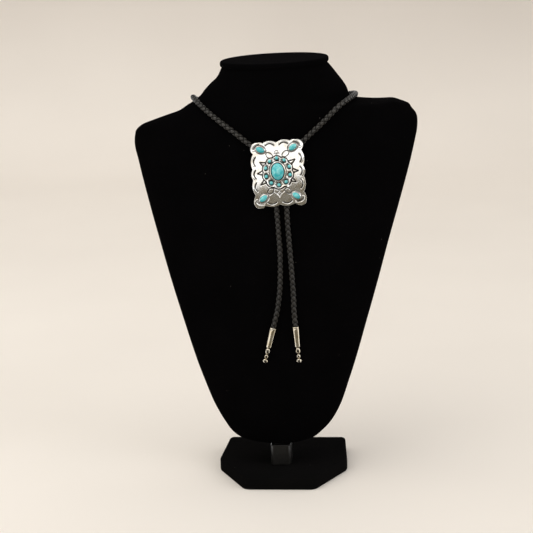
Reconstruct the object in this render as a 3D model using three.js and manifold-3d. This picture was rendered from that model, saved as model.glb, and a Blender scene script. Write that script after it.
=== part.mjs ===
// A bolo tie on a velvet necklace bust. Millimetres, +Z up, +X to the right as seen from the front,
// the bust faces -Y, and the origin is the centre of the base's underside.
import * as THREE from 'three';
import * as BufferGeometryUtils from 'three/addons/utils/BufferGeometryUtils.js';
import Module from 'manifold-3d';

const wasm = await Module();
wasm.setup();

// Clearance between pieces that touch
const GAP = 0.3;

// Base: a slab with its two front corners cut off
const BASE_WIDTH = 110;
const BASE_BACK_WIDTH = 103;
const BASE_DEPTH = 104;
const BASE_NOSE_WIDTH = 59;
const BASE_NOSE_DEPTH = 47;
const BASE_THICKNESS = 11;
const BASE_CORNER = 5;
const BASE_EDGE = 1.2;

// Post between base and bust
const POST_WIDTH = 17;
const POST_DEPTH = 26;
const POST_FRONT = 23;
const POST_CHAMFER = 2;

// Bust
const BODY_UNDERSIDE = 29;
const BODY_HEIGHT = 322;
const SHOULDER_WIDTH = 236;
const CHEST_DEPTH = 80;
const NECK_WIDTH = 88;
const NECK_DEPTH = 72;
const LIP_OVERHANG = 1.6;
const LIP_THICKNESS = 4.8;
const LIP_EDGE = 1.2;
const BODY_FACETS = 40;

// Bolo cord and its metal tips
const CORD_DIAMETER = 4.7;
const CORD_SIDES = 10;
const CORD_STEPS = 80;
const TIP_LENGTH = 31;
const TIP_MOUTH_DIAMETER = 6;
const TIP_WAIST_DIAMETER = 4.6;
const TIP_SIDES = 16;

// Slide: a scalloped plate with cast relief and set stones
const SLIDE_WIDTH = 41.6;
const SLIDE_HEIGHT = 51.6;
const SLIDE_THICKNESS = 1.8;
const SLIDE_EDGE = 0.35;
const SLIDE_UP = 267.5;
const SLIDE_RIGHT = 4.9;
const SLIDE_ROLL = THREE.MathUtils.degToRad(4.2);
const SCALLOP_BULGE = 1.5;
const RELIEF_RISE = 0.7;
const GROOVE_LIP_RISE = 0.35;
const GROOVE_LIP_WIDTH = 0.8;
const GROOVE_LIP_INSET = 2.4;

// Rosette on the slide, with its large stone and the ring of small ones
const ROSETTE_WIDTH = 25.4;
const ROSETTE_HEIGHT = 26;
const ROSETTE_RISE = 1.1;
const ROSETTE_UP = 2.3;
const ROSETTE_LEFT = 0.4;
const LOBE_COUNT = 10;
const LOBE_BULGE = 1.1;
const CENTRE_STONE_WIDTH = 10;
const CENTRE_STONE_HEIGHT = 13.6;
const CENTRE_STONE_RISE = 3.6;
const CENTRE_BEZEL_WALL = 1.1;
const CENTRE_BEZEL_RISE = 1.6;
const ACCENT_DIAMETER = 3;
const ACCENT_POCKET_DEPTH = 0.7;
const ACCENT_STONE_RISE = 1.3;
const ACCENT_RING_WIDTH = 20.6;
const ACCENT_RING_HEIGHT = 22.2;
const GRANULE_DIAMETER = 1.3;
const CORNER_STONE_LENGTH = 7;
const CORNER_STONE_WIDTH = 4.2;
const CORNER_STONE_RISE = 2;
const CORNER_BEZEL_WALL = 0.7;
const CORNER_BEZEL_RISE = 1.1;
const STONE_CLEARANCE = 0.25;

// Clip on the slide's back, with two bores for the cord
const CLASP_HEIGHT = 11;
const CLASP_DROP = 3;
const CLASP_WALL = 0.9;
const CORD_CLEARANCE = 0.4;
const CORD_SPACING = 9.2;

// Sections of the bust, from its underside to the pinch under the lip.
// up is a share of BODY_HEIGHT, left and right are shares of half the SHOULDER_WIDTH, front and back
// are shares of the CHEST_DEPTH measured from the base's centre, and square is the exponent of the
// section's outline (2 is an ellipse).
const BODY_SECTIONS = [
  { up: 0.0, left: 0.12, right: 0.1, front: -0.225, back: 0.02, square: 2.0 },
  { up: 0.004, left: 0.22, right: 0.17, front: -0.275, back: 0.07, square: 2.0 },
  { up: 0.012, left: 0.3, right: 0.24, front: -0.305, back: 0.11, square: 2.1 },
  { up: 0.029, left: 0.362, right: 0.3, front: -0.335, back: 0.15, square: 2.1 },
  { up: 0.055, left: 0.412, right: 0.366, front: -0.36, back: 0.19, square: 2.1 },
  { up: 0.083, left: 0.456, right: 0.413, front: -0.378, back: 0.22, square: 2.1 },
  { up: 0.11, left: 0.492, right: 0.447, front: -0.392, back: 0.245, square: 2.1 },
  { up: 0.164, left: 0.549, right: 0.497, front: -0.412, back: 0.29, square: 2.1 },
  { up: 0.217, left: 0.6, right: 0.544, front: -0.427, back: 0.325, square: 2.1 },
  { up: 0.327, left: 0.69, right: 0.631, front: -0.442, back: 0.385, square: 2.1 },
  { up: 0.434, left: 0.773, right: 0.714, front: -0.445, back: 0.435, square: 2.1 },
  { up: 0.541, left: 0.849, right: 0.793, front: -0.437, back: 0.478, square: 2.1 },
  { up: 0.647, left: 0.921, right: 0.875, front: -0.418, back: 0.508, square: 2.1 },
  { up: 0.753, left: 0.987, right: 0.953, front: -0.382, back: 0.53, square: 2.1 },
  { up: 0.806, left: 1.015, right: 0.986, front: -0.353, back: 0.54, square: 2.05 },
  { up: 0.832, left: 0.998, right: 1.0, front: -0.335, back: 0.545, square: 2.0 },
  { up: 0.848, left: 0.945, right: 1.003, front: -0.324, back: 0.55, square: 1.95 },
  { up: 0.86, left: 0.865, right: 1.002, front: -0.315, back: 0.555, square: 1.9 },
  { up: 0.872, left: 0.775, right: 0.992, front: -0.307, back: 0.56, square: 1.85 },
  { up: 0.885, left: 0.68, right: 0.966, front: -0.297, back: 0.568, square: 1.85 },
  { up: 0.898, left: 0.632, right: 0.94, front: -0.288, back: 0.576, square: 1.85 },
  { up: 0.909, left: 0.585, right: 0.77, front: -0.28, back: 0.583, square: 1.9 },
  { up: 0.916, left: 0.56, right: 0.61, front: -0.276, back: 0.587, square: 1.95 },
  { up: 0.922, left: 0.538, right: 0.557, front: -0.272, back: 0.593, square: 2.0 },
  { up: 0.937, left: 0.496, right: 0.52, front: -0.262, back: 0.605, square: 2.1 },
  { up: 0.953, left: 0.452, right: 0.484, front: -0.252, back: 0.622, square: 2.15 },
  { up: 0.969, left: 0.41, right: 0.447, front: -0.243, back: 0.638, square: 2.15 },
];

// Centre of the neck's top, from the base's centre
const NECK_BACKWARD = 18;
const NECK_RIGHT = 0;

// The cord's route in millimetres, from the left tip up through the clasp, over the left side of the
// chest, round the back of the neck, down the right side and through the clasp to the right tip.
const CORD_ROUTE = [
  [-2.6, -38.7, 137.3],
  [1.1, -38.9, 152],
  [3.7, -38.8, 171],
  [4.6, -38.3, 197],
  [3.6, -37.6, 219],
  [2.1, -36.8, 242],
  [0.9, -35.6, 259],
  [0, -34.5, 272],
  [-2.3, -33.6, 277.7],
  [-7.3, -32.2, 282],
  [-17.5, -30.5, 289.7],
  [-33, -27.1, 301.5],
  [-46, -21.9, 310.5],
  [-54.8, -15.6, 316.6],
  [-62.6, -6.5, 321.6],
  [-68.2, 4.6, 324.4],
  [-68.4, 18, 325],
  [-61.3, 30.6, 323],
  [-47, 40.4, 321],
  [-25, 48, 320.4],
  [0, 49.7, 320],
  [25.4, 48.8, 321],
  [48.6, 43.6, 323],
  [63.2, 34.6, 326],
  [69.3, 20.5, 327],
  [70.3, 9, 327.2],
  [66.7, -3.1, 326.6],
  [59.3, -14.3, 324.4],
  [52.5, -20.6, 319.5],
  [42, -24.9, 309],
  [27.6, -28.8, 296],
  [14.3, -32.2, 283.8],
  [10.5, -33.4, 279.4],
  [9.2, -34.4, 272.5],
  [10.1, -35.5, 259.7],
  [11, -37.3, 230],
  [13, -38.2, 198],
  [14.7, -38.5, 168],
  [15.1, -38.4, 150],
  [16, -38.3, 138.3],
];

// Outline of the slide, anticlockwise from the middle of its top. Each row ends one arc: across and up
// are shares of half the plate's width and height, bulge is the arc's height as a share of
// SCALLOP_BULGE, and lip says whether a stamped arc follows it inside.
const SLIDE_OUTLINE = [
  { across: 0.01, up: 1.005, bulge: 1.0, lip: true },
  { across: -0.52, up: 1.01, bulge: 1.0, lip: true },
  { across: -0.72, up: 1.035, bulge: 0.25, lip: false },
  { across: -1.03, up: 0.84, bulge: 1.3, lip: false },
  { across: -0.945, up: 0.7, bulge: 0.35, lip: false },
  { across: -1.01, up: 0.205, bulge: 1.0, lip: true },
  { across: -1.02, up: -0.135, bulge: 0.8, lip: true },
  { across: -0.975, up: -0.625, bulge: 1.0, lip: true },
  { across: -1.07, up: -0.87, bulge: 0.25, lip: false },
  { across: -0.76, up: -1.06, bulge: 1.3, lip: false },
  { across: -0.63, up: -0.97, bulge: 0.35, lip: false },
  { across: -0.05, up: -0.975, bulge: 1.1, lip: true },
  { across: 0.57, up: -0.965, bulge: 1.1, lip: true },
  { across: 0.76, up: -1.06, bulge: 0.25, lip: false },
  { across: 1.01, up: -0.84, bulge: 1.3, lip: false },
  { across: 0.94, up: -0.62, bulge: 0.35, lip: false },
  { across: 0.985, up: -0.125, bulge: 1.0, lip: true },
  { across: 0.995, up: 0.21, bulge: 0.8, lip: true },
  { across: 0.965, up: 0.71, bulge: 1.1, lip: true },
  { across: 1.06, up: 0.86, bulge: 0.25, lip: false },
  { across: 0.76, up: 1.05, bulge: 1.3, lip: false },
  { across: 0.565, up: 1.03, bulge: 0.35, lip: false },
];

// The oval stones near the slide's corners. across and up are shares of half the plate's width and
// height, and turn is the long axis in degrees.
const CORNER_STONES = [
  { name: 'corner_stone_top_left', across: -0.635, up: 0.813, turn: -27 },
  { name: 'corner_stone_top_right', across: 0.65, up: 0.82, turn: 33 },
  { name: 'corner_stone_bottom_left', across: -0.675, up: -0.737, turn: 35 },
  { name: 'corner_stone_bottom_right', across: 0.627, up: -0.725, turn: -38 },
];

// Pointed rays beside the rosette. turn is the ray's bearing from the rosette's centre in degrees, and
// reach its tip as a share of half the ROSETTE_WIDTH.
const RAYS = [
  { turn: 30, reach: 1.34 },
  { turn: -3, reach: 1.32 },
  { turn: -35, reach: 1.37 },
  { turn: 150, reach: 1.28 },
  { turn: 183, reach: 1.31 },
  { turn: 215, reach: 1.42 },
];
const RAY_SPREAD = 4.2;

// Looped petals on the rosette's diagonals, and the lozenges above and below it. across and up are
// shares of half the ROSETTE_WIDTH and ROSETTE_HEIGHT, and turn is the long axis in degrees.
const PETALS = [
  { across: -0.53, up: 1.06, turn: 128 },
  { across: 0.58, up: 1.08, turn: 52 },
  { across: -0.56, up: -1.2, turn: 48 },
  { across: 0.56, up: -1.21, turn: 132 },
];
const PETAL_LENGTH = 6.4;
const PETAL_WIDTH = 4;
const PETAL_WIRE = 0.9;
const LOZENGES = [
  { across: 0.03, up: 1.2 },
  { across: -0.02, up: -1.35 },
];
const LOZENGE_WIDTH = 3.4;
const LOZENGE_HEIGHT = 4.4;

// Outline of a tip from its mouth down to the ball. down is a share of TIP_LENGTH, and wide a share
// of TIP_WAIST_DIAMETER.
const TIP_TURNING = [
  { down: 0.56, wide: 1.0 },
  { down: 0.575, wide: 0.72 },
  { down: 0.61, wide: 0.88 },
  { down: 0.68, wide: 0.9 },
  { down: 0.745, wide: 0.8 },
  { down: 0.765, wide: 0.6 },
  { down: 0.79, wide: 0.74 },
  { down: 0.83, wide: 0.74 },
  { down: 0.86, wide: 0.54 },
  { down: 0.885, wide: 0.84 },
  { down: 0.925, wide: 1.02 },
  { down: 0.965, wide: 0.9 },
  { down: 0.99, wide: 0.5 },
];
const TIP_RIM_LENGTH = 1.4;

const velvet = new THREE.MeshStandardMaterial({ color: '#0b0a0c', roughness: 0.95, metalness: 0 });
const silver = new THREE.MeshStandardMaterial({ color: '#c9c2b4', roughness: 0.35, metalness: 1 });
const turquoise = new THREE.MeshStandardMaterial({ color: '#4fc1bf', roughness: 0.3, metalness: 0 });
const leather = new THREE.MeshStandardMaterial({ color: '#17171a', roughness: 0.5, metalness: 0 });
const lacquer = new THREE.MeshStandardMaterial({ color: '#101012', roughness: 0.15, metalness: 0 });

const tieOnBust = new THREE.Group();

function piece(name, geometry, material, parent) {
  const mesh = new THREE.Mesh(geometry, material);
  mesh.name = name;
  parent.add(mesh);
  return mesh;
}

// A closed body through a stack of rings that all have as many points, capped at both ends.
function loft(rings) {
  const count = rings[0].length;
  const positions = rings.flat().flatMap((point) => point.toArray());
  const index = [];
  for (let level = 0; level + 1 < rings.length; level += 1) {
    for (let i = 0; i < count; i += 1) {
      const a = level * count + i;
      const b = level * count + ((i + 1) % count);
      index.push(a, b, b + count, a, b + count, a + count);
    }
  }
  const top = (rings.length - 1) * count;
  for (let i = 1; i + 1 < count; i += 1) {
    index.push(0, i + 1, i);
    index.push(top, top + i, top + i + 1);
  }
  const geometry = new THREE.BufferGeometry();
  geometry.setAttribute('position', new THREE.Float32BufferAttribute(positions, 3));
  geometry.setIndex(index);
  geometry.computeVertexNormals();
  return geometry;
}

// One horizontal ring of the bust, counter-clockwise seen from above.
function bodyRing({ up, left, right, front, back, square }) {
  const middle = (front + back) / 2;
  const ring = [];
  for (let i = 0; i < BODY_FACETS; i += 1) {
    const turn = (i / BODY_FACETS) * 2 * Math.PI;
    const across = Math.cos(turn);
    const along = Math.sin(turn);
    const x = Math.sign(across) * Math.abs(across) ** (2 / square) * (across < 0 ? left : right);
    const y = middle + Math.sign(along) * Math.abs(along) ** (2 / square) * ((back - front) / 2);
    ring.push(new THREE.Vector3(x, y, up));
  }
  return ring;
}

function bustBody() {
  const sections = BODY_SECTIONS.map(({ up, left, right, front, back, square }) => ({
    up: BODY_UNDERSIDE + up * BODY_HEIGHT,
    left: (left * SHOULDER_WIDTH) / 2,
    right: (right * SHOULDER_WIDTH) / 2,
    front: front * CHEST_DEPTH,
    back: back * CHEST_DEPTH,
    square,
  }));
  const pinch = BODY_UNDERSIDE + BODY_HEIGHT;
  const neck = (up, overhang) => ({
    up,
    left: NECK_WIDTH / 2 + overhang - NECK_RIGHT,
    right: NECK_WIDTH / 2 + overhang + NECK_RIGHT,
    front: NECK_BACKWARD - NECK_DEPTH / 2 - overhang,
    back: NECK_BACKWARD + NECK_DEPTH / 2 + overhang,
    square: 2.1,
  });
  sections.push(
    neck(pinch, 0),
    neck(pinch + LIP_EDGE, LIP_OVERHANG - LIP_EDGE / 3),
    neck(pinch + LIP_EDGE * 1.6, LIP_OVERHANG),
    neck(pinch + LIP_THICKNESS - LIP_EDGE, LIP_OVERHANG),
    neck(pinch + LIP_THICKNESS, LIP_OVERHANG - LIP_EDGE),
  );
  return loft(sections.map(bodyRing));
}

function baseGeometry() {
  const half = BASE_DEPTH / 2;
  const corners = [
    [-BASE_NOSE_WIDTH / 2, -half],
    [BASE_NOSE_WIDTH / 2, -half],
    [BASE_WIDTH / 2, -half + BASE_NOSE_DEPTH],
    [BASE_BACK_WIDTH / 2, half],
    [-BASE_BACK_WIDTH / 2, half],
    [-BASE_WIDTH / 2, -half + BASE_NOSE_DEPTH],
  ].map(([x, y]) => new THREE.Vector2(x, y));
  const outline = new THREE.Shape();
  corners.forEach((corner, i) => {
    const before = corners[(i + corners.length - 1) % corners.length];
    const after = corners[(i + 1) % corners.length];
    const towards = (other) => corner.clone().add(
      other.clone().sub(corner).setLength(BASE_CORNER),
    );
    const start = towards(before);
    const end = towards(after);
    if (i === 0) {
      outline.moveTo(start.x, start.y);
    } else {
      outline.lineTo(start.x, start.y);
    }
    outline.quadraticCurveTo(corner.x, corner.y, end.x, end.y);
  });
  outline.closePath();
  const geometry = new THREE.ExtrudeGeometry(outline, {
    depth: BASE_THICKNESS - 2 * BASE_EDGE,
    bevelThickness: BASE_EDGE,
    bevelSize: BASE_EDGE,
    bevelOffset: -BASE_EDGE,
    bevelSegments: 2,
    curveSegments: 4,
  });
  geometry.translate(0, 0, BASE_EDGE);
  return geometry;
}

function postGeometry() {
  const x = POST_WIDTH / 2;
  const y = POST_DEPTH / 2;
  const cut = POST_CHAMFER;
  const outline = new THREE.Shape([
    [-x + cut, -y], [x - cut, -y], [x, -y + cut], [x, y - cut],
    [x - cut, y], [-x + cut, y], [-x, y - cut], [-x, -y + cut],
  ].map(([px, py]) => new THREE.Vector2(px, py)));
  const height = BODY_UNDERSIDE - BASE_THICKNESS - 2 * GAP;
  const geometry = new THREE.ExtrudeGeometry(outline, { depth: height, bevelEnabled: false });
  geometry.translate(0, POST_DEPTH / 2 - POST_FRONT, BASE_THICKNESS + GAP);
  return geometry;
}

// How far the front of the chest lies from the base's centre at a height, and how it leans there.
function chestAt(height) {
  const rows = BODY_SECTIONS.map(({ up, front }) => ({
    up: BODY_UNDERSIDE + up * BODY_HEIGHT,
    front: front * CHEST_DEPTH,
  }));
  const above = rows.findIndex((row) => row.up > height);
  const low = rows[above - 1];
  const high = rows[above];
  const share = (height - low.up) / (high.up - low.up);
  return {
    front: THREE.MathUtils.lerp(low.front, high.front, share),
    lean: Math.atan2(high.front - low.front, high.up - low.up),
  };
}

function toSolid(geometry) {
  const bare = geometry.clone();
  bare.deleteAttribute('normal');
  bare.deleteAttribute('uv');
  const merged = BufferGeometryUtils.mergeVertices(bare, 1e-4);
  return new wasm.Manifold(new wasm.Mesh({
    numProp: 3,
    vertProperties: new Float32Array(merged.attributes.position.array),
    triVerts: new Uint32Array(merged.index.array),
  }));
}

function toGeometry(solid) {
  const { vertProperties, triVerts } = solid.getMesh();
  const geometry = new THREE.BufferGeometry();
  geometry.setAttribute('position', new THREE.BufferAttribute(vertProperties, 3));
  geometry.setIndex(new THREE.BufferAttribute(triVerts, 1));
  geometry.computeVertexNormals();
  return geometry;
}

// The slide's pieces are drawn in its own plane: X to the right, Y up, Z out of the plate's back.
function raised(shape, from, to, curveSegments = 6) {
  const geometry = new THREE.ExtrudeGeometry(shape, {
    depth: to - from,
    bevelEnabled: false,
    curveSegments,
  });
  geometry.translate(0, 0, from);
  return geometry;
}

function ellipsePath(x, y, width, height, turn, kind = THREE.Shape) {
  const path = new kind();
  path.absellipse(x, y, width / 2, height / 2, 0, 2 * Math.PI, false, turn);
  return path;
}

function ovalRing(x, y, width, height, wall, turn) {
  const shape = ellipsePath(x, y, width + 2 * wall, height + 2 * wall, turn);
  shape.holes.push(ellipsePath(x, y, width, height, turn, THREE.Path));
  return shape;
}

// The end points of the slide's arcs, each with the point that its curve bends towards.
function slideArcs() {
  const place = ({ across, up }) => new THREE.Vector2(
    (across * SLIDE_WIDTH) / 2,
    (up * SLIDE_HEIGHT) / 2,
  );
  return SLIDE_OUTLINE.map((row, i) => {
    const start = place(SLIDE_OUTLINE[(i + SLIDE_OUTLINE.length - 1) % SLIDE_OUTLINE.length]);
    const end = place(row);
    const outward = new THREE.Vector2(end.y - start.y, start.x - end.x).normalize();
    const bend = start.clone().lerp(end, 0.5).addScaledVector(outward, 2 * row.bulge * SCALLOP_BULGE);
    return { start, end, bend, outward, lip: row.lip };
  });
}

function slideOutline() {
  const arcs = slideArcs();
  const outline = new THREE.Shape();
  outline.moveTo(arcs[0].start.x, arcs[0].start.y);
  arcs.forEach(({ bend, end }) => outline.quadraticCurveTo(bend.x, bend.y, end.x, end.y));
  return outline;
}

// A raised crescent inside one scallop, where a curved line is stamped into the plate.
function scallopLip({ start, end, bend, outward }) {
  const inward = outward.clone().multiplyScalar(-GROOVE_LIP_INSET);
  const a = start.clone().lerp(end, 0.2).add(inward);
  const b = start.clone().lerp(end, 0.8).add(inward);
  const over = bend.clone().add(inward);
  const under = over.clone().addScaledVector(outward, -2 * GROOVE_LIP_WIDTH);
  const shape = new THREE.Shape();
  shape.moveTo(a.x, a.y);
  shape.quadraticCurveTo(over.x, over.y, b.x, b.y);
  shape.quadraticCurveTo(under.x, under.y, a.x, a.y);
  return shape;
}

function rosetteOutline() {
  const outline = new THREE.Shape();
  const rim = (step) => {
    const turn = Math.PI / 2 + ((step - 0.5) / LOBE_COUNT) * 2 * Math.PI;
    return new THREE.Vector2(
      -ROSETTE_LEFT + (Math.cos(turn) * ROSETTE_WIDTH) / 2,
      ROSETTE_UP + (Math.sin(turn) * ROSETTE_HEIGHT) / 2,
    );
  };
  outline.moveTo(rim(0).x, rim(0).y);
  for (let lobe = 0; lobe < LOBE_COUNT; lobe += 1) {
    const start = rim(lobe);
    const end = rim(lobe + 1);
    const outward = new THREE.Vector2(end.y - start.y, start.x - end.x).normalize();
    const bend = start.clone().lerp(end, 0.5).addScaledVector(outward, 2 * LOBE_BULGE);
    outline.quadraticCurveTo(bend.x, bend.y, end.x, end.y);
  }
  return outline;
}

// Centre of one small stone, or of the granule half a step on, round the rosette.
function ringPlace(step, inset = 0) {
  const turn = Math.PI / 2 + (step / LOBE_COUNT) * 2 * Math.PI;
  return new THREE.Vector2(
    -ROSETTE_LEFT + Math.cos(turn) * (ACCENT_RING_WIDTH / 2 - inset),
    ROSETTE_UP + Math.sin(turn) * (ACCENT_RING_HEIGHT / 2 - inset),
  );
}

function rayShape({ turn, reach }) {
  const bearing = THREE.MathUtils.degToRad(turn);
  const centre = new THREE.Vector2(-ROSETTE_LEFT, ROSETTE_UP);
  const along = new THREE.Vector2(Math.cos(bearing), Math.sin(bearing));
  const aside = new THREE.Vector2(-along.y, along.x).multiplyScalar(RAY_SPREAD / 2);
  const foot = centre.clone().addScaledVector(along, ROSETTE_WIDTH / 2 - LOBE_BULGE);
  return new THREE.Shape([
    foot.clone().sub(aside),
    centre.clone().addScaledVector(along, (reach * ROSETTE_WIDTH) / 2),
    foot.clone().add(aside),
  ]);
}

function petalShape({ across, up, turn }) {
  return ovalRing(
    -ROSETTE_LEFT + (across * ROSETTE_WIDTH) / 2,
    ROSETTE_UP + (up * ROSETTE_HEIGHT) / 2,
    PETAL_LENGTH - 2 * PETAL_WIRE,
    PETAL_WIDTH - 2 * PETAL_WIRE,
    PETAL_WIRE,
    THREE.MathUtils.degToRad(turn),
  );
}

function lozengeShape({ across, up }) {
  const x = -ROSETTE_LEFT + (across * ROSETTE_WIDTH) / 2;
  const y = ROSETTE_UP + (up * ROSETTE_HEIGHT) / 2;
  return new THREE.Shape([
    new THREE.Vector2(x - LOZENGE_WIDTH / 2, y),
    new THREE.Vector2(x, y - LOZENGE_HEIGHT / 2),
    new THREE.Vector2(x + LOZENGE_WIDTH / 2, y),
    new THREE.Vector2(x, y + LOZENGE_HEIGHT / 2),
  ]);
}

function cornerPlace({ across, up }) {
  return new THREE.Vector2((across * SLIDE_WIDTH) / 2, (up * SLIDE_HEIGHT) / 2);
}

const FACE = SLIDE_THICKNESS;
const ROSETTE_TOP = FACE + ROSETTE_RISE;

function slidePlate() {
  const plate = new THREE.ExtrudeGeometry(slideOutline(), {
    depth: SLIDE_THICKNESS - 2 * SLIDE_EDGE,
    bevelThickness: SLIDE_EDGE,
    bevelSize: SLIDE_EDGE,
    bevelOffset: -SLIDE_EDGE,
    bevelSegments: 1,
    curveSegments: 6,
  });
  plate.translate(0, 0, SLIDE_EDGE);
  const sunk = FACE / 2;
  const centre = [-ROSETTE_LEFT, ROSETTE_UP];
  const added = [
    raised(rosetteOutline(), sunk, ROSETTE_TOP, 5),
    raised(
      ovalRing(
        ...centre,
        CENTRE_STONE_WIDTH + 2 * STONE_CLEARANCE,
        CENTRE_STONE_HEIGHT + 2 * STONE_CLEARANCE,
        CENTRE_BEZEL_WALL,
        0,
      ),
      ROSETTE_TOP - ROSETTE_RISE / 2,
      ROSETTE_TOP + CENTRE_BEZEL_RISE,
      8,
    ),
    ...slideArcs().filter(({ lip }) => lip)
      .map((arc) => raised(scallopLip(arc), sunk, FACE + GROOVE_LIP_RISE, 4)),
    ...RAYS.map((ray) => raised(rayShape(ray), sunk, FACE + RELIEF_RISE)),
    ...PETALS.map((petal) => raised(petalShape(petal), sunk, FACE + RELIEF_RISE, 5)),
    ...LOZENGES.map((lozenge) => raised(lozengeShape(lozenge), sunk, FACE + RELIEF_RISE)),
    ...CORNER_STONES.map((stone) => {
      const { x, y } = cornerPlace(stone);
      return raised(
        ovalRing(
          x,
          y,
          CORNER_STONE_LENGTH + 2 * STONE_CLEARANCE,
          CORNER_STONE_WIDTH + 2 * STONE_CLEARANCE,
          CORNER_BEZEL_WALL,
          THREE.MathUtils.degToRad(stone.turn),
        ),
        sunk,
        FACE + CORNER_BEZEL_RISE,
        5,
      );
    }),
  ];
  for (let step = 0; step < LOBE_COUNT; step += 1) {
    const { x, y } = ringPlace(step + 0.5, GRANULE_DIAMETER / 2);
    const granule = new THREE.IcosahedronGeometry(GRANULE_DIAMETER / 2, 1);
    granule.translate(x, y, ROSETTE_TOP);
    added.push(granule);
  }
  let solid = toSolid(plate);
  added.forEach((geometry) => {
    solid = solid.add(toSolid(geometry));
  });
  for (let step = 0; step < LOBE_COUNT; step += 1) {
    const { x, y } = ringPlace(step);
    const width = ACCENT_DIAMETER + 2 * STONE_CLEARANCE;
    const pocket = ellipsePath(x, y, width, width, 0);
    solid = solid.subtract(toSolid(raised(pocket, ROSETTE_TOP - ACCENT_POCKET_DEPTH, ROSETTE_TOP + 2)));
  }
  return toGeometry(solid);
}

// A domed stone with a flat back, its rim upright for a third of its rise.
function cabochon(width, height, rise, sides, rings) {
  const profile = [new THREE.Vector2(0, 0), new THREE.Vector2(1, 0)];
  for (let i = 0; i <= rings; i += 1) {
    const turn = (i / rings) * (Math.PI / 2);
    profile.push(new THREE.Vector2(Math.cos(turn), rise * (1 / 3 + (2 / 3) * Math.sin(turn))));
  }
  profile[profile.length - 1].x = 0;
  const geometry = new THREE.LatheGeometry(profile, sides);
  geometry.rotateX(Math.PI / 2);
  geometry.scale(width / 2, height / 2, 1);
  return geometry;
}

const CLASP_THICKNESS = CORD_DIAMETER + 2 * (CORD_CLEARANCE + CLASP_WALL);

function claspGeometry() {
  const round = CLASP_THICKNESS / 2;
  const half = CORD_SPACING / 2;
  const outline = new THREE.Shape();
  outline.absarc(half, 0, round, -Math.PI / 2, Math.PI / 2, false);
  outline.absarc(-half, 0, round, Math.PI / 2, (3 * Math.PI) / 2, false);
  [-half, half].forEach((x) => {
    const bore = new THREE.Path();
    bore.absarc(x, 0, CORD_DIAMETER / 2 + CORD_CLEARANCE, 0, 2 * Math.PI, true);
    outline.holes.push(bore);
  });
  const geometry = new THREE.ExtrudeGeometry(outline, {
    depth: CLASP_HEIGHT,
    bevelEnabled: false,
    curveSegments: 10,
  });
  geometry.translate(0, 0, -CLASP_HEIGHT / 2 - CLASP_DROP);
  geometry.rotateX(-Math.PI / 2);
  return geometry;
}

function cordGeometry(route) {
  const section = new THREE.Shape();
  for (let i = 0; i < CORD_SIDES; i += 1) {
    const turn = (i / CORD_SIDES) * 2 * Math.PI;
    const x = (Math.cos(turn) * CORD_DIAMETER) / 2;
    const y = (Math.sin(turn) * CORD_DIAMETER) / 2;
    if (i === 0) {
      section.moveTo(x, y);
    } else {
      section.lineTo(x, y);
    }
  }
  return new THREE.ExtrudeGeometry(section, {
    steps: CORD_STEPS,
    curveSegments: 1,
    extrudePath: route,
  });
}

function tipGeometry() {
  const profile = [
    new THREE.Vector2(0, 0),
    new THREE.Vector2(TIP_MOUTH_DIAMETER / 2, 0),
    new THREE.Vector2(TIP_MOUTH_DIAMETER / 2, -TIP_RIM_LENGTH),
    new THREE.Vector2((TIP_MOUTH_DIAMETER * 0.92) / 2, -TIP_RIM_LENGTH * 1.3),
    ...TIP_TURNING.map(({ down, wide }) => new THREE.Vector2(
      (wide * TIP_WAIST_DIAMETER) / 2,
      -down * TIP_LENGTH,
    )),
    new THREE.Vector2(0, -TIP_LENGTH),
  ];
  const geometry = new THREE.LatheGeometry(profile.reverse(), TIP_SIDES);
  geometry.rotateX(Math.PI / 2);
  return geometry;
}

// A tip a small gap past one end of the cord, in line with it.
function placeTip(name, end, direction) {
  const tip = piece(name, tipGeometry(), silver, tieOnBust);
  tip.position.copy(end).addScaledVector(direction, GAP);
  tip.quaternion.setFromUnitVectors(new THREE.Vector3(0, 0, -1), direction);
}

piece('bust_body', bustBody(), velvet, tieOnBust);
piece('bust_post', postGeometry(), lacquer, tieOnBust);
piece('bust_base', baseGeometry(), velvet, tieOnBust);

const chest = chestAt(SLIDE_UP);
const slide = new THREE.Group();
const standOff = GAP + CLASP_THICKNESS + GAP;
slide.rotation.set(Math.PI / 2 - chest.lean, 0, SLIDE_ROLL);
slide.position.set(
  SLIDE_RIGHT,
  chest.front - standOff * Math.cos(chest.lean),
  SLIDE_UP + standOff * Math.sin(chest.lean),
);
tieOnBust.add(slide);

piece('slide_plate', slidePlate(), silver, slide);
piece('slide_clasp', claspGeometry(), silver, slide).position.z = -GAP - CLASP_THICKNESS / 2;

piece(
  'centre_stone',
  cabochon(CENTRE_STONE_WIDTH, CENTRE_STONE_HEIGHT, CENTRE_STONE_RISE, 24, 5),
  turquoise,
  slide,
).position.set(-ROSETTE_LEFT, ROSETTE_UP, ROSETTE_TOP + STONE_CLEARANCE);

for (let step = 0; step < LOBE_COUNT; step += 1) {
  const { x, y } = ringPlace(step);
  const stone = cabochon(ACCENT_DIAMETER, ACCENT_DIAMETER, ACCENT_STONE_RISE, 12, 3);
  piece(`accent_stone_${step + 1}`, stone, turquoise, slide)
    .position.set(x, y, ROSETTE_TOP - ACCENT_POCKET_DEPTH + STONE_CLEARANCE);
}

CORNER_STONES.forEach((corner) => {
  const { x, y } = cornerPlace(corner);
  const stone = cabochon(CORNER_STONE_LENGTH, CORNER_STONE_WIDTH, CORNER_STONE_RISE, 16, 3);
  const mesh = piece(corner.name, stone, turquoise, slide);
  mesh.position.set(x, y, FACE + STONE_CLEARANCE);
  mesh.rotation.z = THREE.MathUtils.degToRad(corner.turn);
});

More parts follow.
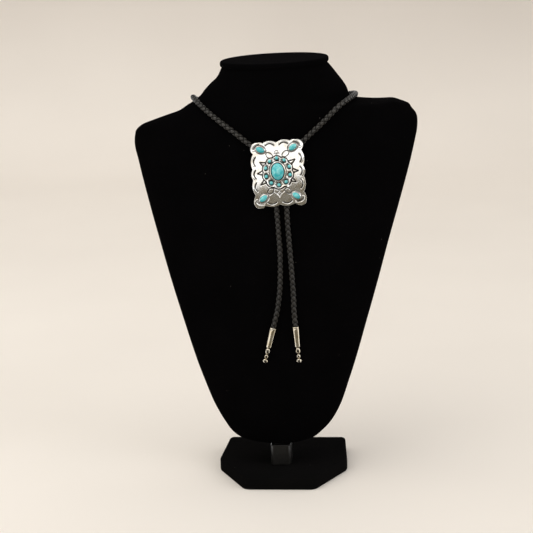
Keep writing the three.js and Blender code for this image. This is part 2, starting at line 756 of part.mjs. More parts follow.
const route = new THREE.CatmullRomCurve3(
  CORD_ROUTE.map((point) => new THREE.Vector3(...point)),
  false,
  'centripetal',
);
piece('cord', cordGeometry(route), leather, tieOnBust);
placeTip('tip_left', route.getPointAt(0), route.getTangentAt(0).negate());
placeTip('tip_right', route.getPointAt(1), route.getTangentAt(1));

export default tieOnBust;
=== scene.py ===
"""A bolo tie on a black velvet necklace bust.

The silver slide with its turquoise stones, the braided cord and the two turned tips are finished pieces
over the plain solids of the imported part. The bust, its post and its base are finished the same way.
Lengths are millimetres in the drawings and metres in the meshes.
"""

import logging
import math
from dataclasses import dataclass, field
from enum import Enum
from typing import Any, Callable, Sequence

import bmesh
import bpy
import numpy as np
from mathutils import Matrix, Vector

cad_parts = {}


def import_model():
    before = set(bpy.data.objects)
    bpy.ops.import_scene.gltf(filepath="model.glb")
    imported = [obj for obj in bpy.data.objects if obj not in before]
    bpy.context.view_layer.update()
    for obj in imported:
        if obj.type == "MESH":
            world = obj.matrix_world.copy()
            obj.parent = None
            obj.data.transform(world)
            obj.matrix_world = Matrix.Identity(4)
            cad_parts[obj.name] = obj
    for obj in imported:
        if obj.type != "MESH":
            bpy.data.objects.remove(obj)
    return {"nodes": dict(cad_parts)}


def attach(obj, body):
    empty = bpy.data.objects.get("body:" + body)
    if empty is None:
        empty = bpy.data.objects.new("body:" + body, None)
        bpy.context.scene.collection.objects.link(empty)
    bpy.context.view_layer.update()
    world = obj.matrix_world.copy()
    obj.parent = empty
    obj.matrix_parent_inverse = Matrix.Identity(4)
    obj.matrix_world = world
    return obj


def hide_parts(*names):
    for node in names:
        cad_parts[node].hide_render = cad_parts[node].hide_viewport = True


LOG = logging.getLogger("bolo_tie")
MM = 0.001
BODY = "root"
Rows = Sequence[Sequence[float]]
Levels = Sequence[tuple[np.ndarray, Any, Any]]


class Slot(Enum):
    """Material slots of the record."""

    VELVET = "velvet"
    POST = "post_gloss"
    SILVER = "silver"
    TURQUOISE = "turquoise"
    CORD = "cord_leather"


class Lip(Enum):
    """What is stamped inside one arc of the slide's outline."""

    NONE = "plain"
    ARC = "stamped arc"


def linear(code: str) -> tuple[float, float, float, float]:
    """Turn an sRGB hex colour into a linear one.

    Args:
        code: The colour as "#rrggbb".

    Returns:
        Red, green, blue and an alpha of 1, in linear light.
    """
    channels = [int(code[i : i + 2], 16) / 255 for i in (1, 3, 5)]
    bent = [c / 12.92 if c <= 0.04045 else ((c + 0.055) / 1.055) ** 2.4 for c in channels]
    return (bent[0], bent[1], bent[2], 1.0)


def add_node(tree: Any, kind: str, inputs: dict | None = None, **settings: Any) -> Any:
    """Add one node to a tree, with its settings, its values and its links.

    Args:
        tree: The shader or geometry tree.
        kind: The node's type.
        inputs: Values by socket name or number, or the output sockets to link to them.
        **settings: The node's own properties.

    Returns:
        The new node.
    """
    node = tree.nodes.new(kind)
    for name, value in settings.items():
        setattr(node, name, value)
    for key, value in (inputs or {}).items():
        if isinstance(value, bpy.types.NodeSocket):
            tree.links.new(value, node.inputs[key])
        else:
            node.inputs[key].default_value = value
    return node


def grow(
    name: str,
    guide: Any,
    material: bpy.types.Material,
    sizes_mm: dict[str, float],
    wire: Callable[[Any, Any], Any],
) -> bpy.types.Mesh:
    """Grow a mesh on a guide with a geometry tree that has named inputs.

    Args:
        name: The tree's name.
        guide: The curve or mesh that it starts from.
        material: The grown mesh's material.
        sizes_mm: The value of each named input.
        wire: Adds the nodes, given the tree and its inputs, and returns the geometry.

    Returns:
        The mesh, in metres.
    """
    tree = bpy.data.node_groups.new(name, "GeometryNodeTree")
    tree.is_modifier = True
    tree.interface.new_socket("Geometry", in_out="INPUT", socket_type="NodeSocketGeometry")
    sockets = {}
    for size in sizes_mm:
        sockets[size] = tree.interface.new_socket(size, in_out="INPUT", socket_type="NodeSocketFloat")
    tree.interface.new_socket("Geometry", in_out="OUTPUT", socket_type="NodeSocketGeometry")
    shape = wire(tree, add_node(tree, "NodeGroupInput").outputs)
    real = add_node(tree, "GeometryNodeRealizeInstances", {0: shape}).outputs[0]
    smooth = add_node(tree, "GeometryNodeSetShadeSmooth", {0: real}).outputs[0]
    coated = add_node(tree, "GeometryNodeSetMaterial", {"Geometry": smooth, "Material": material})
    add_node(tree, "NodeGroupOutput", {0: coated.outputs[0]})
    holder = bpy.data.objects.new(name, guide)
    bpy.context.scene.collection.objects.link(holder)
    modifier = holder.modifiers.new(name, "NODES")
    modifier.node_group = tree
    for size, value in sizes_mm.items():
        modifier[sockets[size].identifier] = value * MM
    ready = holder.evaluated_get(bpy.context.evaluated_depsgraph_get())
    mesh = bpy.data.meshes.new_from_object(ready)
    holder.modifiers.remove(modifier)
    bpy.data.objects.remove(holder)
    return mesh


def ease(low: float, high: float, value: np.ndarray) -> np.ndarray:
    """Blend smoothly from 0 at low to 1 at high.

    Args:
        low: Where the blend is 0. It may lie above high.
        high: Where the blend is 1.
        value: The numbers to blend.

    Returns:
        The blend of each number.
    """
    t = np.clip((value - low) / (high - low), 0.0, 1.0)
    return t * t * (3 - 2 * t)


def bend(start: Sequence[float], middle: Sequence[float], end: Sequence[float], count: int) -> np.ndarray:
    """Points on a quadratic curve that leans towards its middle point.

    Args:
        start: First point.
        middle: The point that the curve leans towards.
        end: Last point.
        count: How many points, both ends among them.

    Returns:
        One row for each point.
    """
    t = np.linspace(0, 1, count)[:, None]
    a, b, c = (np.asarray(p, float) for p in (start, middle, end))
    return (1 - t) ** 2 * a + 2 * t * (1 - t) * b + t**2 * c


def distance(points: np.ndarray, line: np.ndarray, closed: bool = False) -> np.ndarray:
    """How far points of a plane lie from a line through a few points.

    Args:
        points: Points, one row each.
        line: The line's points, one row each.
        closed: Whether the last point joins the first.

    Returns:
        The distance of each point.
    """
    ends = np.roll(line, -1, axis=0) if closed else line[1:]
    starts = line if closed else line[:-1]
    best = np.full(len(points), 1e9)
    for a, b in zip(starts, ends):
        run = b - a
        share = np.clip(((points - a) @ run) / max(float(run @ run), 1e-12), 0.0, 1.0)
        best = np.minimum(best, np.linalg.norm(points - a - share[:, None] * run, axis=1))
    return best


def inside(points: np.ndarray, outline: np.ndarray) -> np.ndarray:
    """Whether points of a plane lie inside a closed outline.

    Args:
        points: Points, one row each.
        outline: The outline's points, one row each.

    Returns:
        True for each point inside.
    """
    hit = np.zeros(len(points), bool)
    for (ax, ay), (bx, by) in zip(outline, np.roll(outline, -1, axis=0)):
        spans = (ay > points[:, 1]) != (by > points[:, 1])
        cross = (bx - ax) * (points[:, 1] - ay) / ((by - ay) or 1e-12) + ax
        hit ^= spans & (points[:, 0] < cross)
    return hit


def unit(vector: np.ndarray) -> np.ndarray:
    """The vector's direction, one long."""
    return vector / np.linalg.norm(vector)


def polar(turn: np.ndarray) -> np.ndarray:
    """Directions in a plane, one row for each turn in radians."""
    return np.stack([np.cos(turn), np.sin(turn)], axis=-1)


def outward_of(start: np.ndarray, end: np.ndarray) -> np.ndarray:
    """The direction out of an anticlockwise outline on the way from start to end."""
    return unit(np.array([end[1] - start[1], start[0] - end[0]]))


def raised(flat: np.ndarray, height: float | np.ndarray) -> np.ndarray:
    """Points of a plane, lifted to one height or each to its own."""
    return np.column_stack([flat, np.broadcast_to(height, len(flat))])


def mark(mesh: bpy.types.Mesh, name: str, values: np.ndarray) -> None:
    """Store one number for each point of a mesh."""
    layer = mesh.attributes.new(name, "FLOAT", "POINT")
    layer.data.foreach_set("value", values.astype(np.float32))


def full_turn(count: int) -> np.ndarray:
    """Turns in radians that divide a circle evenly."""
    return np.arange(count) / count * 2 * np.pi


def oval(width: float, height: float, turn: float = 0.0, count: int = 96) -> np.ndarray:
    """Points round an oval centred on the origin, anticlockwise.

    Args:
        width: Full width before it is turned.
        height: Full height before it is turned.
        turn: Turn in degrees.
        count: How many points.

    Returns:
        One row for each point.
    """
    flat = polar(full_turn(count)) * (width / 2, height / 2)
    c, s = polar(np.radians(turn))
    return flat @ np.array([[c, s], [-s, c]])


def smooth_rows(at: np.ndarray, values: np.ndarray, fine: np.ndarray) -> np.ndarray:
    """A smooth line through a column of values that never swings past them.

    Args:
        at: Where the values stand, rising.
        values: The values.
        fine: Where the line is wanted.

    Returns:
        The line's values.
    """
    step = np.diff(at)
    slope = np.diff(values) / step
    tangent = np.zeros(len(at))
    same = slope[:-1] * slope[1:] > 0
    weight_a = 2 * step[1:] + step[:-1]
    weight_b = step[1:] + 2 * step[:-1]
    with np.errstate(divide="ignore", invalid="ignore"):
        mean = (weight_a + weight_b) / (weight_a / slope[:-1] + weight_b / slope[1:])
    tangent[1:-1] = np.where(same, mean, 0.0)
    tangent[0], tangent[-1] = slope[0], slope[-1]
    i = np.clip(np.searchsorted(at, fine, side="right") - 1, 0, len(at) - 2)
    t = (fine - at[i]) / step[i]
    return (
        values[i] * (1 + 2 * t) * (1 - t) ** 2
        + tangent[i] * step[i] * t * (1 - t) ** 2
        + values[i + 1] * t * t * (3 - 2 * t)
        + tangent[i + 1] * step[i] * t * t * (t - 1)
    )


class MeshSketch:
    """Points and faces gathered for one piece, in millimetres, with how dark each point's finish is: oxide in
    the silver's recesses, and painted shade on the stones and the cord.

    A level is a ring's points in the plane, its height and its recess. The last two may vary round it.
    """

    def __init__(self, levels: Levels = ()) -> None:
        self.points: list[np.ndarray] = []
        self.recess: list[np.ndarray] = []
        self.faces: list[tuple[int, ...]] = []
        self.count = 0
        if levels:
            self.add_levels(levels)

    def add_rings(self, rings: np.ndarray, recess: Any = 0.0, closed: bool = False) -> None:
        """Join a stack of rings that all have as many points.

        Args:
            rings: Points as ring, point, axis. Each ring runs anticlockwise seen from the stack's far end.
            recess: How dark each point's finish is, from 0 to 1, as ring, point.
            closed: Whether the last ring joins the first, as in a torus.
        """
        levels, around = rings.shape[:2]
        start = self.count
        self.points.append(rings.reshape(-1, 3))
        self.recess.append(np.broadcast_to(recess, (levels, around)).ravel())
        self.count += levels * around
        for level in range(levels if closed else levels - 1):
            low = start + level * around
            high = start + ((level + 1) % levels) * around
            for i in range(around):
                j = (i + 1) % around
                self.faces.append((low + i, low + j, high + j, high + i))

    def add_levels(self, levels: Levels, closed: bool = False) -> None:
        """Join a stack of rings drawn in the plane.

        Args:
            levels: The rings, from the first to the last.
            closed: Whether the last ring joins the first.
        """
        rings = np.array([raised(flat, height) for flat, height, _ in levels])
        recess = np.array([np.broadcast_to(tone, len(flat)) for flat, _, tone in levels])
        self.add_rings(rings, recess, closed)

    def finish(
        self,
        name: str,
        material: bpy.types.Material,
        place: Callable[[np.ndarray], np.ndarray] | None = None,
        sharp: float = 40.0,
    ) -> bpy.types.Object:
        """Turn the sketch into an object at the origin.

        Args:
            name: The object's name.
            material: Its material.
            place: Turns the sketch's points into the row frame, still in millimetres.
            sharp: Edges that bend more than this many degrees stay crisp.

        Returns:
            The object, linked to the scene.
        """
        points = np.concatenate(self.points)
        points = (place(points) if place else points) * MM
        mesh = bpy.data.meshes.new(name)
        mesh.from_pydata(points.tolist(), [], self.faces)
        mark(mesh, "recess", np.concatenate(self.recess))
        work = bmesh.new()
        work.from_mesh(mesh)
        bmesh.ops.remove_doubles(work, verts=work.verts, dist=2e-6)
        bmesh.ops.dissolve_degenerate(work, edges=work.edges, dist=1e-7)
        bmesh.ops.recalc_face_normals(work, faces=work.faces)
        work.to_mesh(mesh)
        work.free()
        return dress(mesh, name, material, sharp=sharp)


def dress(mesh: bpy.types.Mesh, name: str, material: bpy.types.Material, sharp: float) -> bpy.types.Object:
    """Give a mesh smooth shading and its material, and put it into the scene.

    Args:
        mesh: The finished mesh, in metres.
        name: The object's name.
        material: Its material.
        sharp: Edges that bend more than this many degrees stay crisp.

    Returns:
        The object at the origin.
    """
    mesh.shade_smooth()
    mesh.set_sharp_from_angle(angle=math.radians(sharp))
    mesh.materials.clear()
    mesh.materials.append(material)
    made = bpy.data.objects.new(name, mesh)
    bpy.context.scene.collection.objects.link(made)
    return made


def settle(piece: bpy.types.Object, slot: Slot, *nodes: str) -> bpy.types.Object:
    """Make a piece ride on the body and let it stand for its solids.

    Args:
        piece: The finished piece.
        slot: The record's material slot. Not used.
        *nodes: The solids that it replaces.

    Returns:
        The same piece.
    """
    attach(piece, BODY)
    if nodes:
        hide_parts(*nodes)
    LOG.info("%s: %d faces, for %s", piece.name, len(piece.data.polygons), ", ".join(nodes) or "detail")
    return piece


def new_material(name: str) -> tuple[bpy.types.Material, Any, Any]:
    """Start a node material.

    Args:
        name: The material's name.

    Returns:
        The material, its node tree and its principled shader.
    """
    material = bpy.data.materials.new(name)
    material.use_nodes = True
    return material, material.node_tree, material.node_tree.nodes["Principled BSDF"]


@dataclass(frozen=True)
class SterlingSilver:
    """Hand worked sterling silver, brushed and then darkened in its recesses.

    The brushing gives the flats a soft directional sheen, and the oxide stays in every stamped line. Cloudy
    warm patches over the bright metal are painted reflection.
    """

    name: str
    bright: str = "#f6f5f2"
    # The tone of the cloudy patches of painted reflection.
    warm: str = "#e2d9cb"
    oxide: str = "#1e1815"
    roughness: float = 0.11
    brush_mm: float = 0.35
    brush_stretch: float = 0.05
    cloud_mm: float = 5.0

    def material(self) -> bpy.types.Material:
        """Build the material."""
        material, tree, shader = new_material(self.name)
        place = add_node(tree, "ShaderNodeTexCoord").outputs["Object"]
        turned = add_node(
            tree,
            "ShaderNodeMapping",
            {"Vector": place, "Scale": (self.brush_stretch, 1, 1)},
        ).outputs[0]
        brush = add_node(
            tree,
            "ShaderNodeTexNoise",
            {"Vector": turned, "Scale": 1 / (self.brush_mm * MM), "Detail": 3.0, "Roughness": 0.6},
        ).outputs[0]
        cloud = add_node(
            tree,
            "ShaderNodeTexNoise",
            {"Vector": place, "Scale": 1 / (self.cloud_mm * MM), "Detail": 3.0},
        ).outputs[0]
        recess = add_node(tree, "ShaderNodeAttribute", attribute_name="recess").outputs["Fac"]
        # Painted reflection: cloudy patches mix the bright metal towards the warm tone. The same cloud also
        # varies the oxide.
        patch = add_node(
            tree, "ShaderNodeMapRange", {"Value": cloud, "From Min": 0.4, "From Max": 0.68}
        ).outputs[0]
        tone = add_node(
            tree,
            "ShaderNodeMix",
            {0: patch, 6: linear(self.bright), 7: linear(self.warm)},
            data_type="RGBA",
        ).outputs[2]
        halved = add_node(tree, "ShaderNodeMath", {0: cloud, 1: 0.5}, operation="MULTIPLY").outputs[0]
        stained = add_node(tree, "ShaderNodeMath", {0: halved, 1: 0.75}, operation="ADD").outputs[0]
        depth = add_node(tree, "ShaderNodeMath", {0: recess, 1: stained}, operation="MULTIPLY").outputs[0]
        colour = add_node(
            tree, "ShaderNodeMix", {0: depth, 6: tone, 7: linear(self.oxide)}, data_type="RGBA"
        ).outputs[2]
        rough = add_node(
            tree,
            "ShaderNodeMapRange",
            {"Value": brush, "To Min": self.roughness - 0.05, "To Max": self.roughness + 0.08},
        ).outputs[0]
        worn = add_node(
            tree, "ShaderNodeMath", {0: depth, 1: 0.3, 2: rough}, operation="MULTIPLY_ADD"
        ).outputs[0]
        bump = add_node(
            tree, "ShaderNodeBump", {"Height": brush, "Strength": 0.25, "Distance": 0.00004}
        ).outputs[0]
        shader.inputs["Metallic"].default_value = 1.0
        tree.links.new(colour, shader.inputs["Base Color"])
        tree.links.new(worn, shader.inputs["Roughness"])
        tree.links.new(bump, shader.inputs["Normal"])
        return material


@dataclass(frozen=True)
class Turquoise:
    """Blue turquoise cut as cabochons and polished.

    A waxy gloss over a clouded body, with paler patches and a few fine specks of its mother stone. Each stone
    turns a deeper teal towards its lower right, as painted shade.
    """

    name: str
    body: str = "#3bbcc3"
    pale: str = "#93e3e1"
    # The deeper teal of the painted shade on each stone's lower right.
    deep: str = "#119aa5"
    speck: str = "#5a6a5c"
    patch_mm: float = 3.2
    speck_mm: float = 1.1
    web_mm: float = 2.4

    def material(self) -> bpy.types.Material:
        """Build the material."""
        material, tree, shader = new_material(self.name)
        place = add_node(tree, "ShaderNodeTexCoord").outputs["Object"]
        cloud = add_node(
            tree,
            "ShaderNodeTexNoise",
            {"Vector": place, "Scale": 1 / (self.patch_mm * MM), "Detail": 4.0, "Distortion": 0.8},
        ).outputs[0]
        patch = add_node(
            tree, "ShaderNodeMapRange", {"Value": cloud, "From Min": 0.38, "From Max": 0.66}
        ).outputs[0]
        tone = add_node(
            tree,
            "ShaderNodeMix",
            {0: patch, 6: linear(self.body), 7: linear(self.pale)},
            data_type="RGBA",
        ).outputs[2]
        # Painted shade: the stored tone mixes the colour towards the deeper teal on each stone's lower right.
        low = add_node(tree, "ShaderNodeAttribute", attribute_name="recess").outputs["Fac"]
        toned = add_node(
            tree, "ShaderNodeMix", {0: low, 6: tone, 7: linear(self.deep)}, data_type="RGBA"
        ).outputs[2]
        grain = add_node(
            tree,
            "ShaderNodeTexNoise",
            {"Vector": place, "Scale": 1 / (self.speck_mm * MM), "Detail": 5.0, "Roughness": 0.7},
        ).outputs[0]
        crack = add_node(
            tree,
            "ShaderNodeTexVoronoi",
            {"Vector": place, "Scale": 1 / (self.web_mm * MM)},
            feature="DISTANCE_TO_EDGE",
        ).outputs[0]
        web = add_node(
            tree, "ShaderNodeMapRange", {"Value": crack, "From Min": 0.05, "From Max": 0.0, "To Max": 0.3}
        ).outputs[0]
        spots = add_node(
            tree, "ShaderNodeMapRange", {"Value": grain, "From Min": 0.68, "From Max": 0.76, "To Max": 0.6}
        ).outputs[0]
        mother = add_node(tree, "ShaderNodeMath", {0: spots, 1: web}, operation="MAXIMUM").outputs[0]
        colour = add_node(
            tree, "ShaderNodeMix", {0: mother, 6: toned, 7: linear(self.speck)}, data_type="RGBA"
        ).outputs[2]
        rough = add_node(
            tree, "ShaderNodeMapRange", {"Value": grain, "To Min": 0.12, "To Max": 0.32}
        ).outputs[0]
        bump = add_node(
            tree, "ShaderNodeBump", {"Height": grain, "Strength": 0.15, "Distance": 0.00005}
        ).outputs[0]
        shader.inputs["IOR"].default_value = 1.61
        tree.links.new(colour, shader.inputs["Base Color"])
        tree.links.new(rough, shader.inputs["Roughness"])
        tree.links.new(bump, shader.inputs["Normal"])
        return material


@dataclass(frozen=True)
class BraidLeather:
    """Dyed leather lace, skived thin, oiled and braided tight.

    Near black, with a grey sheen on the crown of each lace and a fine pebble grain. The crowns are mixed
    towards a lighter colour, partly wear and partly painted highlight, and the creases get less reflection,
    as painted shade.
    """

    name: str
    dye: str = "#0d0c0b"
    # The lighter crown colour: partly wear, partly painted highlight.
    worn: str = "#2d2922"
    grain_mm: float = 0.45
    wear_mm: float = 6.0
    roughness: float = 0.42

    def material(self) -> bpy.types.Material:
        """Build the material."""
        material, tree, shader = new_material(self.name)
        place = add_node(tree, "ShaderNodeTexCoord").outputs["Object"]
        grain = add_node(
            tree,
            "ShaderNodeTexVoronoi",
            {"Vector": place, "Scale": 1 / (self.grain_mm * MM)},
            feature="SMOOTH_F1",
        ).outputs[0]
        wear = add_node(
            tree, "ShaderNodeTexNoise", {"Vector": place, "Scale": 1 / (self.wear_mm * MM), "Detail": 3.0}
        ).outputs[0]
        crease = add_node(tree, "ShaderNodeAttribute", attribute_name="recess").outputs["Fac"]
        # Painted highlight and shade: the crowns take the lighter colour where the wear noise allows, and the
        # creases keep less reflection.
        crown = add_node(
            tree, "ShaderNodeMapRange", {"Value": crease, "From Max": 0.8, "To Min": 1.3, "To Max": 0.0}
        ).outputs[0]
        wear_and_highlight = add_node(tree, "ShaderNodeMath", {0: wear, 1: crown}, operation="MULTIPLY").outputs[0]
        sheen = add_node(
            tree, "ShaderNodeMapRange", {"Value": crease, "From Max": 0.8, "To Min": 0.52, "To Max": 0.05}
        ).outputs[0]
        colour = add_node(
            tree,
            "ShaderNodeMix",
            {0: wear_and_highlight, 6: linear(self.dye), 7: linear(self.worn)},
            data_type="RGBA",
        ).outputs[2]
        rough = add_node(
            tree,
            "ShaderNodeMapRange",
            {"Value": wear, "To Min": self.roughness - 0.1, "To Max": self.roughness + 0.1},
        ).outputs[0]
        bump = add_node(
            tree, "ShaderNodeBump", {"Height": grain, "Strength": 0.3, "Distance": 0.00006}
        ).outputs[0]
        tree.links.new(colour, shader.inputs["Base Color"])
        tree.links.new(rough, shader.inputs["Roughness"])
        tree.links.new(sheen, shader.inputs["Specular IOR Level"])
        tree.links.new(bump, shader.inputs["Normal"])
        return material


@dataclass(frozen=True)
class DisplayVelvet:
    """Black display velvet, a short upright pile glued over a form.

    It swallows nearly all light, turns faintly grey at glancing angles, and holds a little pale lint.
    The pile is far finer than a pixel, so its clumps are drawn about ten times as coarse.
    """

    name: str
    pile: str = "#040404"
    brushed: str = "#080708"
    lint: str = "#6f6b66"
    bloom: str = "#c9c4c6"
    clump_mm: float = 1.6
    sweep_mm: float = 34.0
    lint_mm: float = 13.0
    sheen: float = 0.012

    def material(self) -> bpy.types.Material:
        """Build the material."""
        material, tree, shader = new_material(self.name)
        place = add_node(tree, "ShaderNodeTexCoord").outputs["Object"]
        clump = add_node(
            tree,
            "ShaderNodeTexNoise",
            {"Vector": place, "Scale": 1 / (self.clump_mm * MM), "Detail": 4.0, "Roughness": 0.7},
        ).outputs[0]
        sweep = add_node(
            tree, "ShaderNodeTexNoise", {"Vector": place, "Scale": 1 / (self.sweep_mm * MM), "Detail": 2.0}
        ).outputs[0]
        tone = add_node(
            tree,
            "ShaderNodeMix",
            {0: sweep, 6: linear(self.pile), 7: linear(self.brushed)},
            data_type="RGBA",
        ).outputs[2]
        cell = add_node(
            tree, "ShaderNodeTexVoronoi", {"Vector": place, "Scale": 1 / (self.lint_mm * MM)}
        ).outputs[0]
        fleck = add_node(
            tree,
            "ShaderNodeMapRange",
            {"Value": cell, "From Min": 0.026, "From Max": 0.018, "To Max": 0.8},
        ).outputs[0]
        colour = add_node(
            tree, "ShaderNodeMix", {0: fleck, 6: tone, 7: linear(self.lint)}, data_type="RGBA"
        ).outputs[2]
        bump = add_node(
            tree, "ShaderNodeBump", {"Height": clump, "Strength": 0.5, "Distance": 0.0003}
        ).outputs[0]
        shader.inputs["Roughness"].default_value = 0.95
        shader.inputs["Specular IOR Level"].default_value = 0.0
        shader.inputs["Sheen Weight"].default_value = self.sheen
        shader.inputs["Sheen Roughness"].default_value = 0.35
        shader.inputs["Sheen Tint"].default_value = linear(self.bloom)
        tree.links.new(colour, shader.inputs["Base Color"])
        tree.links.new(bump, shader.inputs["Normal"])
        return material


@dataclass(frozen=True)
class BlackLacquer:
    """Black lacquer sprayed over a wooden post, rubbed out to a satin gloss with orange peel."""

    name: str
    colour: str = "#0c0b0a"
    dust: str = "#1c1a18"
    peel_mm: float = 2.8
    roughness: float = 0.3

    def material(self) -> bpy.types.Material:
        """Build the material."""
        material, tree, shader = new_material(self.name)
        place = add_node(tree, "ShaderNodeTexCoord").outputs["Object"]
        peel = add_node(
            tree, "ShaderNodeTexNoise", {"Vector": place, "Scale": 1 / (self.peel_mm * MM), "Detail": 2.0}
        ).outputs[0]
        colour = add_node(
            tree,
            "ShaderNodeMix",
            {0: peel, 6: linear(self.colour), 7: linear(self.dust)},
            data_type="RGBA",
        ).outputs[2]
        rough = add_node(
            tree,
            "ShaderNodeMapRange",
            {"Value": peel, "To Min": self.roughness - 0.05, "To Max": self.roughness + 0.07},
        ).outputs[0]
        bump = add_node(
            tree, "ShaderNodeBump", {"Height": peel, "Strength": 0.5, "Distance": 0.0003}
        ).outputs[0]
        shader.inputs["Coat Weight"].default_value = 0.12
        shader.inputs["Coat Roughness"].default_value = 0.16
        shader.inputs["Specular IOR Level"].default_value = 0.34
        tree.links.new(colour, shader.inputs["Base Color"])
        tree.links.new(rough, shader.inputs["Roughness"])
        tree.links.new(bump, shader.inputs["Normal"])
        return material


@dataclass(frozen=True)
class StudioPaper:
    """Seamless studio paper in a warm off white, with painted shade: darker towards its top and very slightly
    towards its right.
    """

    name: str
    floor: str = "#fbf4eb"
    # The darker tone of the painted shade up the sweep.
    wall: str = "#d6cec5"

    def material(self) -> bpy.types.Material:
        """Build the material."""
        material, tree, shader = new_material(self.name)
        place = add_node(tree, "ShaderNodeTexCoord").outputs["Object"]
        parts = add_node(tree, "ShaderNodeSeparateXYZ", {0: place})
        # Painted shade: the wall tone takes over with height, and very slightly to the right.
        lift = add_node(
            tree,
            "ShaderNodeMath",
            {0: parts.outputs["X"], 1: 0.04, 2: parts.outputs["Z"]},
            operation="MULTIPLY_ADD",
        ).outputs[0]
        fibre = add_node(tree, "ShaderNodeTexNoise", {"Vector": place, "Scale": 3.0}).outputs[0]
        fibre_and_painted_shade = add_node(
            tree, "ShaderNodeMath", {0: fibre, 1: 0.1, 2: lift}, operation="MULTIPLY_ADD"
        ).outputs[0]
        share = add_node(
            tree, "ShaderNodeMapRange", {"Value": fibre_and_painted_shade, "From Min": 0.0, "From Max": 0.3}
        ).outputs[0]
        colour = add_node(
            tree,
            "ShaderNodeMix",
            {0: share, 6: linear(self.floor), 7: linear(self.wall)},
            data_type="RGBA",
        ).outputs[2]
        shader.inputs["Roughness"].default_value = 0.9
        shader.inputs["Specular IOR Level"].default_value = 0.1
        tree.links.new(colour, shader.inputs["Base Color"])
        return material


@dataclass
class Viewpoint:
    """Where the camera stands: a long lens, a little to the right of the bust and above it."""

    azimuth: float = 4.67
    elevation: float = 13.5
    roll: float = 1.4
    distance_mm: float = 1635.0
    target_mm: tuple[float, float, float] = (-10.0, -2.0, 181.3)
    lens: float = 130.2

    def build(self) -> bpy.types.Object:
        """Make the camera and hand it to the scene.

        Returns:
            The camera.
        """
        a, e, r = (math.radians(v) for v in (self.azimuth, self.elevation, self.roll))
        back = Vector((math.sin(a) * math.cos(e), -math.cos(a) * math.cos(e), math.sin(e)))
        right = Vector((math.cos(a), math.sin(a), 0))
        up = back.cross(right)
        across = right * math.cos(r) - up * math.sin(r)
        over = right * math.sin(r) + up * math.cos(r)
        data = bpy.data.cameras.new("view")
        data.lens = self.lens
        data.sensor_width = 36.0
        data.clip_start, data.clip_end = 0.05, 50.0
        camera = bpy.data.objects.new("view", data)
        turn = Matrix((across, over, back)).transposed().to_4x4()
        camera.matrix_world = (
            Matrix.Translation((Vector(self.target_mm) + back * self.distance_mm) * MM) @ turn
        )
        bpy.context.scene.collection.objects.link(camera)
        bpy.context.scene.camera = camera
        return camera


